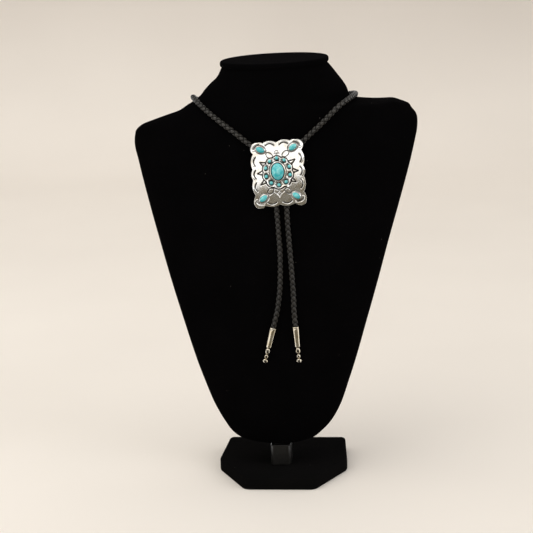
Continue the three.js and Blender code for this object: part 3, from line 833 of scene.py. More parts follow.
@dataclass
class Studio:
    """A pale paper sweep under a wide soft box, with a pale room round it."""

    sweep_half_width: float = 2.2
    sweep_front: float = -1.6
    sweep_back: float = 1.3
    sweep_radius: float = 0.5
    sweep_steps: int = 12
    sweep_top: float = 1.9
    room_high: str = "#dedddb"
    room_low: str = "#57534a"
    wall_glow: float = 2.05
    ceiling_glow: float = 0.8
    dim_until: tuple[float, float] = (-0.5, -0.1)
    dim_below: tuple[float, float] = (-0.038, -0.03)
    dim_slope: float = 0.38
    key_watts: float = 22.0
    fill_watts: float = 4.0
    aim: tuple[float, float, float] = (0, 0, 0.2)
    paper: StudioPaper = field(default_factory=lambda: StudioPaper("studio_paper"))

    def build(self) -> None:
        """Make the sweep, the room and the lights."""
        bpy.context.scene.view_settings.view_transform = "Standard"
        self.build_sweep()
        self.build_room()
        self.build_light("key_light", (-0.9, -0.6, 2.0), size=2.2, watts=self.key_watts, colour="#fffcf7")
        self.build_light("fill_light", (1.6, -1.0, 1.0), size=1.0, watts=self.fill_watts, colour="#f4f4ff")

    def build_sweep(self) -> None:
        """Make the floor, curving up into a wall behind the bust."""
        turn = np.linspace(-math.pi / 2, 0, self.sweep_steps + 1)
        bent = polar(turn) * self.sweep_radius + (self.sweep_back, self.sweep_radius)
        top = (self.sweep_back + self.sweep_radius, self.sweep_top)
        curve = [(self.sweep_front, 0.0), *bent.tolist(), top]
        half = self.sweep_half_width
        points = [(x, y, z) for y, z in curve for x in (-half, half)]
        faces = [(2 * i, 2 * i + 1, 2 * i + 3, 2 * i + 2) for i in range(len(curve) - 1)]
        mesh = bpy.data.meshes.new("paper_sweep")
        mesh.from_pydata(points, [], faces)
        sweep = dress(mesh, "paper_sweep", self.paper.material(), sharp=60)
        sweep.visible_glossy = False

    def build_room(self) -> None:
        """Make the room: bright walls, a softer ceiling, and dim ground on the side that the bust faces."""
        world = bpy.data.worlds.new("studio_room")
        bpy.context.scene.world = world
        world.use_nodes = True
        tree = world.node_tree
        ray = add_node(tree, "ShaderNodeTexCoord").outputs["Generated"]
        parts = add_node(tree, "ShaderNodeSeparateXYZ", {0: ray})
        height = add_node(
            tree,
            "ShaderNodeMath",
            {0: parts.outputs["X"], 1: -self.dim_slope, 2: parts.outputs["Z"]},
            operation="MULTIPLY_ADD",
        ).outputs[0]
        ahead = add_node(
            tree,
            "ShaderNodeMapRange",
            {"Value": parts.outputs["Y"], "From Min": self.dim_until[0], "From Max": self.dim_until[1]},
        ).outputs[0]
        edge = add_node(tree, "ShaderNodeMath", {0: ahead, 1: height}, operation="ADD").outputs[0]
        share = add_node(
            tree,
            "ShaderNodeMapRange",
            {"Value": edge, "From Min": self.dim_below[0], "From Max": self.dim_below[1]},
        ).outputs[0]
        colour = add_node(
            tree,
            "ShaderNodeMix",
            {0: share, 6: linear(self.room_low), 7: linear(self.room_high)},
            data_type="RGBA",
        ).outputs[2]
        glow = add_node(
            tree,
            "ShaderNodeMapRange",
            {
                "Value": height,
                "From Min": 0.1,
                "From Max": 0.5,
                "To Min": self.wall_glow,
                "To Max": self.ceiling_glow,
            },
        ).outputs[0]
        shader = tree.nodes["Background"]
        tree.links.new(glow, shader.inputs["Strength"])
        tree.links.new(colour, shader.inputs["Color"])

    def build_light(self, name: str, place: Sequence[float], size: float, watts: float, colour: str) -> None:
        """Make one square soft box that faces the slide.

        Args:
            name: The light's name.
            place: Where it hangs, in metres.
            size: Its side, in metres.
            watts: Its power.
            colour: Its colour.
        """
        data = bpy.data.lights.new(name, "AREA")
        data.size = size
        data.energy = watts
        data.color = linear(colour)[:3]
        light = bpy.data.objects.new(name, data)
        aim = Vector(self.aim) - Vector(place)
        light.matrix_world = Matrix.Translation(place) @ aim.to_track_quat("-Z", "Y").to_matrix().to_4x4()
        bpy.context.scene.collection.objects.link(light)


@dataclass
class BoloCord:
    """The braided cord: a loop round the neck, and two tails that hang from the clasp."""

    diameter: float = 4.7
    pitch: float = 9.3
    lace_width: float = 3.2
    lace_thickness: float = 1.15
    samples_per_pitch: int = 16
    lace_sides: int = 10
    route_mm: Rows = (
        (-2.6, -38.7, 137.3),
        (1.1, -38.9, 152),
        (3.7, -38.8, 171),
        (4.6, -38.3, 197),
        (3.6, -37.6, 219),
        (2.1, -36.8, 242),
        (0.9, -35.6, 259),
        (0, -34.5, 272),
        (-2.3, -33.6, 277.7),
        (-7.3, -32.2, 282),
        (-17.5, -30.5, 289.7),
        (-33, -27.1, 301.5),
        (-46, -21.9, 310.5),
        (-54.8, -15.6, 316.6),
        (-62.6, -6.7, 321.9),
        (-67.7, 4.6, 324.5),
        (-69.8, 15.8, 324.1),
        (-67.9, 27, 320.4),
        (-58.5, 37.5, 315.5),
        (-42, 43.2, 311.5),
        (-22, 46.8, 309.5),
        (0, 48.1, 309),
        (22, 48, 311),
        (42.6, 47.6, 315.9),
        (58.6, 41.2, 321.3),
        (65.5, 28.4, 324),
        (66.6, 16.5, 324.8),
        (65.2, 6.5, 325.2),
        (63.0, -3.8, 324.8),
        (58.2, -14.8, 322.9),
        (51.8, -21, 318.4),
        (42, -24.9, 309),
        (27.6, -28.8, 296),
        (14.3, -32.2, 283.8),
        (10.5, -33.4, 279.4),
        (9.2, -34.4, 272.5),
        (10.1, -35.5, 259.7),
        (11, -37.3, 230),
        (13, -38.2, 198),
        (14.7, -38.5, 168),
        (15.1, -38.4, 150),
        (16, -38.3, 138.3),
    )
    crease: tuple[float, float] = (0.66, 0.97)
    finish: BraidLeather = field(default_factory=lambda: BraidLeather("oiled_braid_leather"))

    def line(self, per_span: int = 12) -> np.ndarray:
        """The cord's centre line, a smooth curve through the route's points.

        Args:
            per_span: How many steps lie between two points of the route.

        Returns:
            Points in millimetres, one row each.
        """
        route = np.array(self.route_mm, float)
        route = np.vstack([2 * route[0] - route[1], route, 2 * route[-1] - route[-2]])
        made = []
        for i in range(1, len(route) - 2):
            p = route[i - 1 : i + 3]
            gap = np.sqrt(np.linalg.norm(np.diff(p, axis=0), axis=1))
            t1 = (p[1] - p[0]) / gap[0] - (p[2] - p[0]) / (gap[0] + gap[1]) + (p[2] - p[1]) / gap[1]
            t2 = (p[2] - p[1]) / gap[1] - (p[3] - p[1]) / (gap[1] + gap[2]) + (p[3] - p[2]) / gap[2]
            t1, t2 = t1 * gap[1], t2 * gap[1]
            for t in np.arange(per_span) / per_span:
                made.append(
                    (2 * t**3 - 3 * t**2 + 1) * p[1]
                    + (t**3 - 2 * t**2 + t) * t1
                    + (3 * t**2 - 2 * t**3) * p[2]
                    + (t**3 - t**2) * t2
                )
        made.append(route[-2])
        return np.array(made)

    def length(self) -> float:
        """The cord's length in millimetres."""
        return float(np.linalg.norm(np.diff(self.line(), axis=0), axis=1).sum())

    def wire_braid(self, tree: Any, given: Any) -> Any:
        """Wind four laces over and under each other round a curve.

        Args:
            tree: The geometry tree.
            given: The tree's inputs.

        Returns:
            The laces' geometry.
        """
        curve = add_node(
            tree,
            "GeometryNodeResampleCurve",
            {"Curve": given["Geometry"], "Length": given["Sample Step"]},
            mode="LENGTH",
        ).outputs[0]
        ring = add_node(
            tree, "GeometryNodeCurvePrimitiveCircle", {"Resolution": self.lace_sides, "Radius": 0.5}
        ).outputs[0]
        size = add_node(
            tree, "ShaderNodeCombineXYZ", {"X": given["Lace Thickness"], "Y": given["Lace Width"], "Z": 1.0}
        ).outputs[0]
        lace = add_node(tree, "GeometryNodeTransform", {"Geometry": ring, "Scale": size}).outputs[0]
        along = add_node(tree, "GeometryNodeSplineParameter").outputs["Length"]
        tangent = add_node(tree, "GeometryNodeInputTangent").outputs[0]
        normal = add_node(tree, "GeometryNodeInputNormal").outputs[0]
        aside = add_node(
            tree, "ShaderNodeVectorMath", {0: tangent, 1: normal}, operation="CROSS_PRODUCT"
        ).outputs[0]
        turns = add_node(tree, "ShaderNodeMath", {0: along, 1: given["Pitch"]}, operation="DIVIDE").outputs[0]
        angle = add_node(tree, "ShaderNodeMath", {0: turns, 1: 2 * math.pi}, operation="MULTIPLY").outputs[0]
        double = add_node(tree, "ShaderNodeMath", {0: angle, 1: 2.0}, operation="MULTIPLY").outputs[0]
        wave = add_node(tree, "ShaderNodeMath", {0: double}, operation="COSINE").outputs[0]
        joined = tree.nodes.new("GeometryNodeJoinGeometry")
        for hand in (1.0, -1.0):
            swell = add_node(
                tree, "ShaderNodeMath", {0: wave, 1: given["Weave Depth"]}, operation="MULTIPLY"
            ).outputs[0]
            radius = add_node(
                tree,
                "ShaderNodeMath",
                {0: swell, 1: hand, 2: given["Middle Radius"]},
                operation="MULTIPLY_ADD",
            ).outputs[0]
            for phase in (0.0, math.pi):
                bearing = add_node(
                    tree, "ShaderNodeMath", {0: angle, 1: hand, 2: phase}, operation="MULTIPLY_ADD"
                ).outputs[0]
                cosine = add_node(tree, "ShaderNodeMath", {0: bearing}, operation="COSINE").outputs[0]
                sine = add_node(tree, "ShaderNodeMath", {0: bearing}, operation="SINE").outputs[0]
                part_a = add_node(
                    tree, "ShaderNodeVectorMath", {0: normal, "Scale": cosine}, operation="SCALE"
                ).outputs[0]
                part_b = add_node(
                    tree, "ShaderNodeVectorMath", {0: aside, "Scale": sine}, operation="SCALE"
                ).outputs[0]
                out = add_node(
                    tree, "ShaderNodeVectorMath", {0: part_a, 1: part_b}, operation="ADD"
                ).outputs[0]
                kept = tree.nodes.new("GeometryNodeCaptureAttribute")
                kept.capture_items.new("VECTOR", "Outward")
                tree.links.new(curve, kept.inputs[0])
                tree.links.new(out, kept.inputs[1])
                shift = add_node(
                    tree, "ShaderNodeVectorMath", {0: out, "Scale": radius}, operation="SCALE"
                ).outputs[0]
                moved = add_node(
                    tree, "GeometryNodeSetPosition", {"Geometry": kept.outputs[0], "Offset": shift}
                ).outputs[0]
                faced = add_node(
                    tree,
                    "GeometryNodeSetCurveNormal",
                    {"Curve": moved, "Normal": kept.outputs[1]},
                    mode="FREE",
                ).outputs[0]
                solid = add_node(
                    tree,
                    "GeometryNodeCurveToMesh",
                    {"Curve": faced, "Profile Curve": lace, "Fill Caps": True},
                ).outputs[0]
                tree.links.new(solid, joined.inputs[0])
        return joined.outputs[0]

    def mark_creases(self, mesh: bpy.types.Mesh) -> None:
        """Note how deep each point of the laces lies below the braid's crowns. This drives the crowns' wear
        and painted highlight and the creases' painted shade.

        Args:
            mesh: The braided mesh, in metres.
        """
        places = np.empty(len(mesh.vertices) * 3)
        mesh.vertices.foreach_get("co", places)
        out = distance(places.reshape(-1, 3) / MM, self.line(4)) / (self.diameter / 2)
        mark(mesh, "recess", 1 - ease(*self.crease, out))

    def build(self) -> bpy.types.Object:
        """Returns:
            The cord.
        """
        points = self.line() * MM
        flat = bpy.data.curves.new("cord_line", "CURVE")
        flat.dimensions = "3D"
        spline = flat.splines.new("POLY")
        spline.points.add(len(points) - 1)
        spline.points.foreach_set("co", np.hstack([points, np.ones((len(points), 1))]).ravel())
        material = self.finish.material()
        depth = self.lace_thickness / 2
        sizes = {
            "Pitch": self.pitch,
            "Middle Radius": self.diameter / 2 - self.lace_thickness / 2 - depth,
            "Weave Depth": depth,
            "Lace Width": self.lace_width,
            "Lace Thickness": self.lace_thickness,
            "Sample Step": self.pitch / self.samples_per_pitch,
        }
        mesh = grow("four_strand_braid", flat, material, sizes, self.wire_braid)
        self.mark_creases(mesh)
        cord = dress(mesh, "braided_cord", material, sharp=70)
        settle(cord, Slot.CORD, "cord")
        self.length() * MM
        return cord


@dataclass
class CordTip:
    """A turned silver tip: a tapered barrel with a rolled mouth, two beads and a flattened ball."""

    name: str
    node: str
    finish: bpy.types.Material
    length: float = 31.0
    gap: float = 0.3
    mouth_radius: float = 2.95
    waist_radius: float = 2.3
    sides: int = 40
    beads: Rows = ((17.7, 23.1, 2.06), (23.5, 27.0, 1.72), (27.2, 30.95, 2.37))

    def profile(self) -> np.ndarray:
        """The tip's outline from inside its mouth round to the ball.

        Returns:
            Rows of distance down the tip, radius, recess and the darkness of the dimples front and back.
        """
        rows = [(1.2, 0.0, 1.0, 0.0), (1.2, 2.42, 1.0, 0.0), (-0.5, 2.46, 0.7, 0.0)]
        for turn in np.linspace(0, math.pi, 7):
            rows.append((0.05 - 0.6 * math.cos(turn), 2.75 + 0.3 * math.sin(turn), 0.0, 0.0))
        rows.append((0.95, self.mouth_radius - 0.16, 0.55, 0.0))
        for share in np.linspace(0, 1, 12):
            radius = self.mouth_radius - 0.06 + (self.waist_radius - self.mouth_radius) * share**0.85
            rows.append((1.25 + 15.4 * share, radius, 0.0, 0.0))
        rows += [(17.1, 2.0, 0.4, 0.0), (17.5, 1.62, 0.8, 0.0)]
        for low, high, radius in self.beads:
            middle, half = (low + high) / 2, (high - low) / 2
            for turn in np.linspace(0.22, math.pi - 0.22, 13):
                dimple = 0.95 * float(ease(0.7, 0.95, np.array(math.sin(turn))))
                rows.append((middle - half * math.cos(turn), radius * math.sin(turn) ** 0.75, 0.0, dimple))
            if high < self.beads[-1][0]:
                rows.append((high + 0.15, radius * 0.52, 0.9, 0.0))
        rows.append((self.length, 0.0, 0.0, 0.0))
        return np.array(rows)

    def build(self, end: np.ndarray, before: np.ndarray) -> bpy.types.Object:
        """Turn the tip and set it past the cord's end.

        Args:
            end: The cord's end point in millimetres.
            before: A point of the cord a little before its end.

        Returns:
            The tip.
        """
        along = unit(end - before)
        side = unit(np.cross(along, (0, 1, 0)))
        circle = polar(full_turn(self.sides)) @ np.stack([side, np.cross(along, side)])
        down, radius, dark, dimple = self.profile().T[..., None]
        rings = end + along * self.gap + down[..., None] * along + radius[..., None] * circle
        sketch = MeshSketch()
        sketch.add_rings(rings, np.maximum(dark, dimple * ease(0.78, 0.96, np.abs(circle[:, 1]))))
        tip = sketch.finish(self.name, self.finish, sharp=50)
        return settle(tip, Slot.SILVER, self.node)


@dataclass
class SlideDrawing:
    """The slide's own drawing plane: X to the right, Y up, Z out of the plate's back."""

    origin: tuple[float, float, float] = (4.9, -38.767, 268.164)
    lean: float = 4.823
    roll: float = 4.2

    def place(self, points: np.ndarray) -> np.ndarray:
        """Take points of the drawing into the row frame.

        Args:
            points: Points in millimetres, one row each.

        Returns:
            The same points in the row frame, in millimetres.
        """
        lean, roll = math.radians(self.lean), math.radians(self.roll)
        c, s = math.cos(roll), math.sin(roll)
        flat = points @ np.array([[c, s, 0], [-s, c, 0], [0, 0, 1]])
        up = np.array([0, math.sin(lean), math.cos(lean)])
        out = np.array([0, -math.cos(lean), math.sin(lean)])
        right = np.array([1.0, 0, 0])
        return np.array(self.origin) + flat @ np.stack([right, up, out])


@dataclass(frozen=True)
class Scallop:
    """One arc of the slide's outline, by its end point in shares of half the width and height."""

    across: float
    up: float
    bulge: float
    lip: Lip = Lip.NONE


@dataclass(frozen=True)
class CornerStone:
    """An oval stone near a corner of the slide, how it is turned, and whether dots lie beside it."""

    name: str
    across: float
    up: float
    turn: float
    dotted: bool = False


class Chasing:
    """Lines pressed into a metal face or raised out of it, and the oxide that stays in them."""

    def __init__(self, points: np.ndarray) -> None:
        self.points = points
        self.rise = np.zeros(len(points))
        self.dark = np.zeros(len(points))

    def off(self, line: np.ndarray, closed: bool = False) -> np.ndarray:
        """How far each point lies from a line."""
        return distance(self.points, line, closed=closed)

    def groove(self, off: np.ndarray, width: float | np.ndarray, depth: float, tone: float = 1.0) -> None:
        """Press a line of that width and depth into the face."""
        self.rise -= depth * ease(width / 2 + 0.18, width / 2 - 0.18, off)
        self.dark = np.maximum(self.dark, tone * ease(width / 2 + 0.12, width / 2 - 0.16, off))

    def dot(self, place: np.ndarray, width: float, depth: float, tone: float = 1.0) -> None:
        """Press a round dot into the face."""
        self.groove(np.linalg.norm(self.points - place, axis=1), width=width, depth=depth, tone=tone)

    def ridge(self, off: np.ndarray, width: float, height: float) -> None:
        """Raise a rounded line of that width and height."""
        self.rise += height * np.clip(1 - (2 * off / width) ** 2, 0, 1)


@dataclass
class SilverSlide:
    """The slide: a domed, scalloped plate with stamped arcs, a lobed rosette and set stones."""

    metal: bpy.types.Material
    drawing: SlideDrawing = field(default_factory=SlideDrawing)
    width: float = 41.6
    height: float = 51.6
    thickness: float = 1.8
    bulge: float = 1.5
    dome: float = 1.6
    rosette_width: float = 25.4
    rosette_height: float = 26.0
    rosette_up: float = 2.3
    rosette_left: float = 0.4
    rosette_top: float = 2.9
    lobes: int = 10
    lobe_bulge: float = 1.7
    lobe_cusp: float = 1.3
    lower_lobes: float = 1.5
    pocket_radius: float = 2.45
    ring_width: float = 20.6
    ring_height: float = 22.2
    stone_width: float = 10.0
    stone_height: float = 13.6
    accent: float = 3.0
    corner_length: float = 7.0
    corner_width: float = 4.2
    outline_rows: tuple[Scallop, ...] = (
        Scallop(0.01, 1.005, 1.0, Lip.ARC),
        Scallop(-0.52, 1.01, 1.0, Lip.ARC),
        Scallop(-0.72, 1.035, 0.25),
        Scallop(-1.03, 0.84, 1.3),
        Scallop(-0.945, 0.7, 0.35),
        Scallop(-1.01, 0.205, 1.0, Lip.ARC),
        Scallop(-1.02, -0.135, 0.8, Lip.ARC),
        Scallop(-0.975, -0.625, 1.0, Lip.ARC),
        Scallop(-1.07, -0.87, 0.25),
        Scallop(-0.76, -1.06, 1.3),
        Scallop(-0.63, -0.97, 0.35),
        Scallop(-0.05, -0.975, 1.1, Lip.ARC),
        Scallop(0.57, -0.965, 1.1, Lip.ARC),
        Scallop(0.76, -1.06, 0.25),
        Scallop(1.01, -0.84, 1.3),
        Scallop(0.94, -0.62, 0.35),
        Scallop(0.985, -0.125, 1.0, Lip.ARC),
        Scallop(0.995, 0.21, 0.8, Lip.ARC),
        Scallop(0.965, 0.71, 1.1, Lip.ARC),
        Scallop(1.06, 0.86, 0.25),
        Scallop(0.76, 1.05, 1.3),
        Scallop(0.565, 1.03, 0.35),
    )
    corners: tuple[CornerStone, ...] = (
        CornerStone("corner_stone_top_left", -0.635, 0.813, -27),
        CornerStone("corner_stone_top_right", 0.65, 0.82, 33),
        CornerStone("corner_stone_bottom_left", -0.675, -0.737, 35, dotted=True),
        CornerStone("corner_stone_bottom_right", 0.627, -0.725, -38),
    )
    rays: Rows = ((30, 1.34), (-3, 1.32), (-35, 1.37), (150, 1.28), (183, 1.31), (215, 1.42))
    petals: Rows = (
        (-0.46, 1.02, 139),
        (0.59, 1.06, 34),
        (-0.56, -1.22, 38),
        (0.55, -1.27, 137),
    )
    stamp_inset: float = 2.3
    stamp_half: float = 3.5
    stamp_lean: float = 1.45
    upper_bends: Rows = ((5.6, 0.5), (4.65, 3.7), (1.1, 4.1))
    lower_bends: Rows = ((5.6, 2.1), (5.0, 5.1), (0.4, 4.9))
    wave: Rows = ((0, -3.9), (2.0, -1.5), (4.4, 0.6), (6.2, -1.0), (8.6, -2.6))
    back_edge: Rows = ((0, 0), (0.3, 0), (0.6, 0), (0.98, 0), (0.995, 0.06), (1, 0.2))
    centre_bezel: Rows = (
        (-0.1, -0.6, 1.0),
        (1.8, -0.6, 1.0),
        (1.8, 0.0, 0.5),
        (1.72, 0.3, 0.0),
        (1.5, 0.72, 0.0),
        (1.22, 1.08, 0.0),
        (0.95, 1.28, 0.0),
        (0.8, 1.25, 0.1),
        (0.68, 0.95, 1.0),
        (0.6, 0.7, 1.0),
        (-0.1, 0.65, 1.0),
    )
    accent_bezel: Rows = (
        (0.08, -0.6, 1.0),
        (0.26, -0.6, 1.0),
        (0.24, -0.4, 0.9),
        (0.2, -0.2, 0.8),
        (0.12, -0.15, 0.7),
        (0.04, -0.25, 1.0),
    )
    corner_bezel: Rows = (
        (0.9, -0.7, 0.3),
        (0.7, -0.25, 0.3),
        (0.42, 0.05, 0.12),
        (0.2, 0.08, 0.25),
        (0.1, -0.05, 0.6),
    )

    def half(self) -> np.ndarray:
        """Half the plate's width and height."""
        return np.array([self.width, self.height]) / 2

    def rosette_half(self) -> np.ndarray:
        """Half the rosette's width and height."""
        return np.array([self.rosette_width, self.rosette_height]) / 2

    def centre(self) -> np.ndarray:
        """Centre of the rosette."""
        return np.array([-self.rosette_left, self.rosette_up])

    def corner_place(self, stone: CornerStone) -> np.ndarray:
        """Centre of one corner stone."""
        return np.array([stone.across, stone.up]) * self.half()

    def arcs(self) -> list[tuple[np.ndarray, np.ndarray, np.ndarray, np.ndarray, Lip]]:
        """The outline's arcs, each as start, lean point, end, outward direction and stamp."""
        ends = [np.array([row.across, row.up]) * self.half() for row in self.outline_rows]
        made = []
        for i, row in enumerate(self.outline_rows):
            start, end = ends[i - 1], ends[i]
            outward = outward_of(start, end)
            lean = (start + end) / 2 + outward * 2 * row.bulge * self.bulge
            made.append((start, lean, end, outward, row.lip))
        return made

    def plate_outline(self, per_arc: int = 32) -> np.ndarray:
        """Points round the plate, anticlockwise."""
        return np.vstack([bend(a, b, c, count=per_arc + 1)[:-1] for a, b, c, _, _ in self.arcs()])

    def rosette_outline(self, per_lobe: int = 36) -> np.ndarray:
        """Points round the lobed rosette, anticlockwise."""
        turn = math.pi / 2 + (np.arange(self.lobes + 1) - 0.5) / self.lobes * 2 * math.pi
        lower = (self.lower_lobes * np.clip(-np.sin(turn), -0.3, 1))[:, None]
        rim = self.centre() + polar(turn) * (self.rosette_half() - self.lobe_cusp + lower)
        made = []
        for a, b in zip(rim[:-1], rim[1:]):
            lean = (a + b) / 2 + outward_of(a, b) * 2 * self.lobe_bulge
            made.append(bend(a, lean, b, count=per_lobe + 1)[:-1])
        return np.vstack(made)

    def ring_places(self, half_step: bool = False, inset: float = 0.0) -> np.ndarray:
        """Places round the rosette, of the small stones or half a step on.

        Args:
            half_step: Whether the places lie between the stones.
            inset: How far they lie inside the stones' ring.

        Returns:
            One row for each place.
        """
        turn = math.pi / 2 + (np.arange(self.lobes) + 0.5 * half_step) / self.lobes * 2 * math.pi
        reach = np.array([self.ring_width, self.ring_height]) / 2 - inset
        return self.centre() + polar(turn) * reach

    def face(self, points: np.ndarray) -> np.ndarray:
        """Height of the domed plate before any stamping. It curves most from top to bottom."""
        across, up = (points / self.half()).T
        return self.thickness + self.dome * (0.42 - 0.24 * across**2 - 0.76 * up**2)

    def chase_arcs(self, work: Chasing) -> None:
        """Stamp an arc inside each wide scallop, with a raised line outside it."""
        for start, lean, end, outward, lip in self.arcs():
            if lip is Lip.NONE:
                continue
            middle = (start + 2 * lean + end) / 4 - outward * self.stamp_inset
            along, drop = unit(end - start) * self.stamp_half, outward * self.stamp_lean
            stamp = bend(middle - along - drop, middle + drop, middle + along - drop, count=17)
            work.groove(work.off(stamp), width=0.95, depth=0.42)
            work.ridge(work.off(stamp + outward * 1.05), width=1.2, height=0.16)

    def chase_corners(self, work: Chasing) -> None:
        """Stamp a bent line, or dots, inside each corner stone and a line round it."""
        for stone in self.corners:
            place = self.corner_place(stone)
            upper = place[1] > 0
            line = bend(*(self.upper_bends if upper else self.lower_bends), 17)
            line = place + line * np.sign(place)
            off = work.off(line)
            if stone.dotted:
                for spot in line[::3]:
                    work.dot(spot, width=1.0, depth=0.35)
            elif upper:
                work.groove(off, width=1.1, depth=0.35, tone=0.75)
            else:
                work.groove(off, width=1.2, depth=0.35, tone=0.85)
            work.ridge(np.abs(off - 1.25), width=0.8, height=0.2)
            round_stone = place + oval(self.corner_length + 2.6, self.corner_width + 2.6, stone.turn)
            work.groove(work.off(round_stone, closed=True), width=0.6, depth=0.25, tone=0.85)

    def chase_rays(self, work: Chasing) -> None:
        """Cut the pointed rays beside the rosette and the petals above and below it."""
        centre, half = self.centre(), self.rosette_half()
        for bearing, reach in self.rays:
            along = polar(np.radians(bearing))
            aside = np.array([-along[1], along[0]]) * 2.1
            foot = centre + along * (half[0] - 0.9)
            tip = centre + along * reach * half[0]
            work.groove(work.off(np.array([foot - aside, tip, foot + aside])), width=0.95, depth=0.4)
            work.ridge(work.off(np.array([foot, tip - along * 1.2])), width=1.2, height=0.35)
        for across, up, turn in self.petals:
            length, width = (6.4, 0.6) if up > 0 else (5.6, 0.75)
            loop = centre + half * (across, up) + oval(length, 4.1, turn, count=40)
            work.groove(work.off(loop, closed=True), width=width, depth=0.25)

    def chase_middle(self, work: Chasing) -> None:
        """Stamp the button above the rosette, and the diamond and waves below it."""
        top = self.centre() + (0.35, self.rosette_height / 2 + 2.5)
        work.groove(work.off(top + oval(2.8, 2.8), closed=True), width=0.45, depth=0.2, tone=0.55)
        work.ridge(np.linalg.norm(work.points - top, axis=1), width=2.2, height=0.35)
        for side in (-1.9, 1.9):
            work.dot(top + (side, -0.9), width=0.7, depth=0.3, tone=0.8)
        low = self.centre() + (-0.2, -self.rosette_height / 2 - 4.6)
        kite = low + np.array([(-1.5, 0), (0, -2.0), (1.5, 0), (0, 2.0)])
        work.groove(work.off(kite, closed=True), width=0.6, depth=0.32, tone=0.9)
        work.ridge(work.off(low + np.array([(0, 1.0), (0, -1.0)])), width=1.9, height=0.4)
        for side in (-1, 1):
            wave = low + np.array(self.wave) * (side, 1)
            work.ridge(work.off(wave), width=0.9, height=0.3)
            work.groove(work.off(wave + (0, 0.75)), width=0.4, depth=0.12, tone=0.45)

    def relief(self, points: np.ndarray) -> tuple[np.ndarray, np.ndarray]:
        """How far stamping and chasing raise the plate's face, and where the oxide stays.

        Args:
            points: Points of the drawing, one row each.

        Returns:
            The rise in millimetres, and the recess from 0 to 1.
        """
        work = Chasing(points)
        self.chase_arcs(work)
        self.chase_corners(work)
        self.chase_rays(work)
        self.chase_middle(work)
        outline = self.rosette_outline(10)
        rim = work.off(outline, closed=True)
        work.groove(rim, width=1.6 + 0.7 * ease(0.0, -8.0, points[:, 1]), depth=0.3)
        for cusp in self.rosette_outline(1):
            work.dot(cusp + unit(cusp - self.centre()) * 0.7, width=1.2, depth=0.3)
        under = inside(points, outline)
        rise = np.where(under, work.rise - 0.9 * ease(0.4, 1.2, rim), work.rise)
        return rise, np.where(under, 1.0, work.dark)

    def piece(self, name: str, sketch: MeshSketch, *nodes: str) -> bpy.types.Object:
        """Turn a sketch in the slide's drawing into a silver piece that stands for those solids."""
        made = sketch.finish(name, self.metal, self.drawing.place, sharp=50)
        return settle(made, Slot.SILVER, *nodes)

    def build_plate(self) -> bpy.types.Object:
        """Make the plate, its edge rounded and its face stamped."""
        outline = self.plate_outline()
        levels = [(outline * share, height, 0.12) for share, height in self.back_edge]
        for share, drop in ((1.0, 0.35), (0.997, 0.18), (0.991, 0.06)):
            levels.append((outline * share, self.face(outline * share) - drop, 0.0))
        for share in np.linspace(0.984, 0.4, 72):
            flat = outline * share
            rise, deep = self.relief(flat)
            levels.append((flat, self.face(flat) + rise, deep))
        levels.append((outline * 0.0, self.thickness - 0.3, 1.0))
        return self.piece("slide_plate_stamped", MeshSketch(levels), "slide_plate")

    def rosette_level(self, flat: np.ndarray, outline: np.ndarray) -> tuple[np.ndarray, np.ndarray]:
        """How far one ring of the rosette's face lies over its top, and where it is dark.

        Args:
            flat: The ring's points.
            outline: The rosette's outline.

        Returns:
            The rise in millimetres, and the recess from 0 to 1.
        """
        centre = self.centre()
        offset = flat[:, None, :] - self.ring_places()[None]
        reach = np.linalg.norm(offset * (1.0, 0.94), axis=2)
        nearest = reach.argmin(axis=1)
        reach = reach.min(axis=1)
        aside = np.abs(offset[np.arange(len(flat)), nearest, 0]) / np.maximum(reach, 1e-6)
        edge = distance(flat, outline[::3], closed=True)
        pocket = ease(self.pocket_radius + 0.1, self.pocket_radius - 0.3, reach) * ease(0.75, 1.1, edge)
        bezel = distance(flat, centre + oval(self.stone_width + 3.4, self.stone_height + 3.4), closed=True)
        lower = 0.84 * ease(-2, -7, flat[:, 1] - centre[1])
        moat = np.maximum(ease(0.75, 0.3, bezel), ease(1.6, 0.9, bezel) * lower)
        spokes = [np.array([centre * 0.35 + end * 0.65, end]) for end in self.ring_places(half_step=True)]
        bar = ease(0.6, 0.3, np.min([distance(flat, spoke) for spoke in spokes], axis=0))
        bridged = moat * (1 - 0.4 * bar)
        under = ease(0.0, -6.0, flat[:, 1] - centre[1])
        roll = (0.1 + 0.22 * under) * ease(1.15, 0.4, edge)
        rise = 0.08 - 0.62 * np.maximum(pocket, bridged) + 0.16 * bar * (1 - pocket) + roll
        return rise, np.clip(np.maximum(pocket * (1 - 0.25 * aside**2), bridged), 0, 1)

    def build_rosette(self) -> bpy.types.Object:
        """Make the lobed rosette with its rolled rim and its darkened floor."""
        outline = self.rosette_outline()
        centre, top = self.centre(), self.rosette_top
        spread = outline - centre
        levels = [
            (centre + spread * 0.96, 1.7, 1.0),
            (outline, 1.75, 0.9),
            (centre + spread * 1.005, 2.2, 0.3),
            (outline, top - 0.05, 0.0),
            (centre + spread * 0.988, top + 0.16, 0.0),
        ]
        for share in np.linspace(0.975, 0.5, 60):
            flat = centre + spread * share
            rise, deep = self.rosette_level(flat, outline)
            levels.append((flat, top + rise, deep))
        levels += [(centre + spread * share, top - 0.5, 1.0) for share in (0.4, 0.0)]
        return self.piece("slide_rosette", MeshSketch(levels))

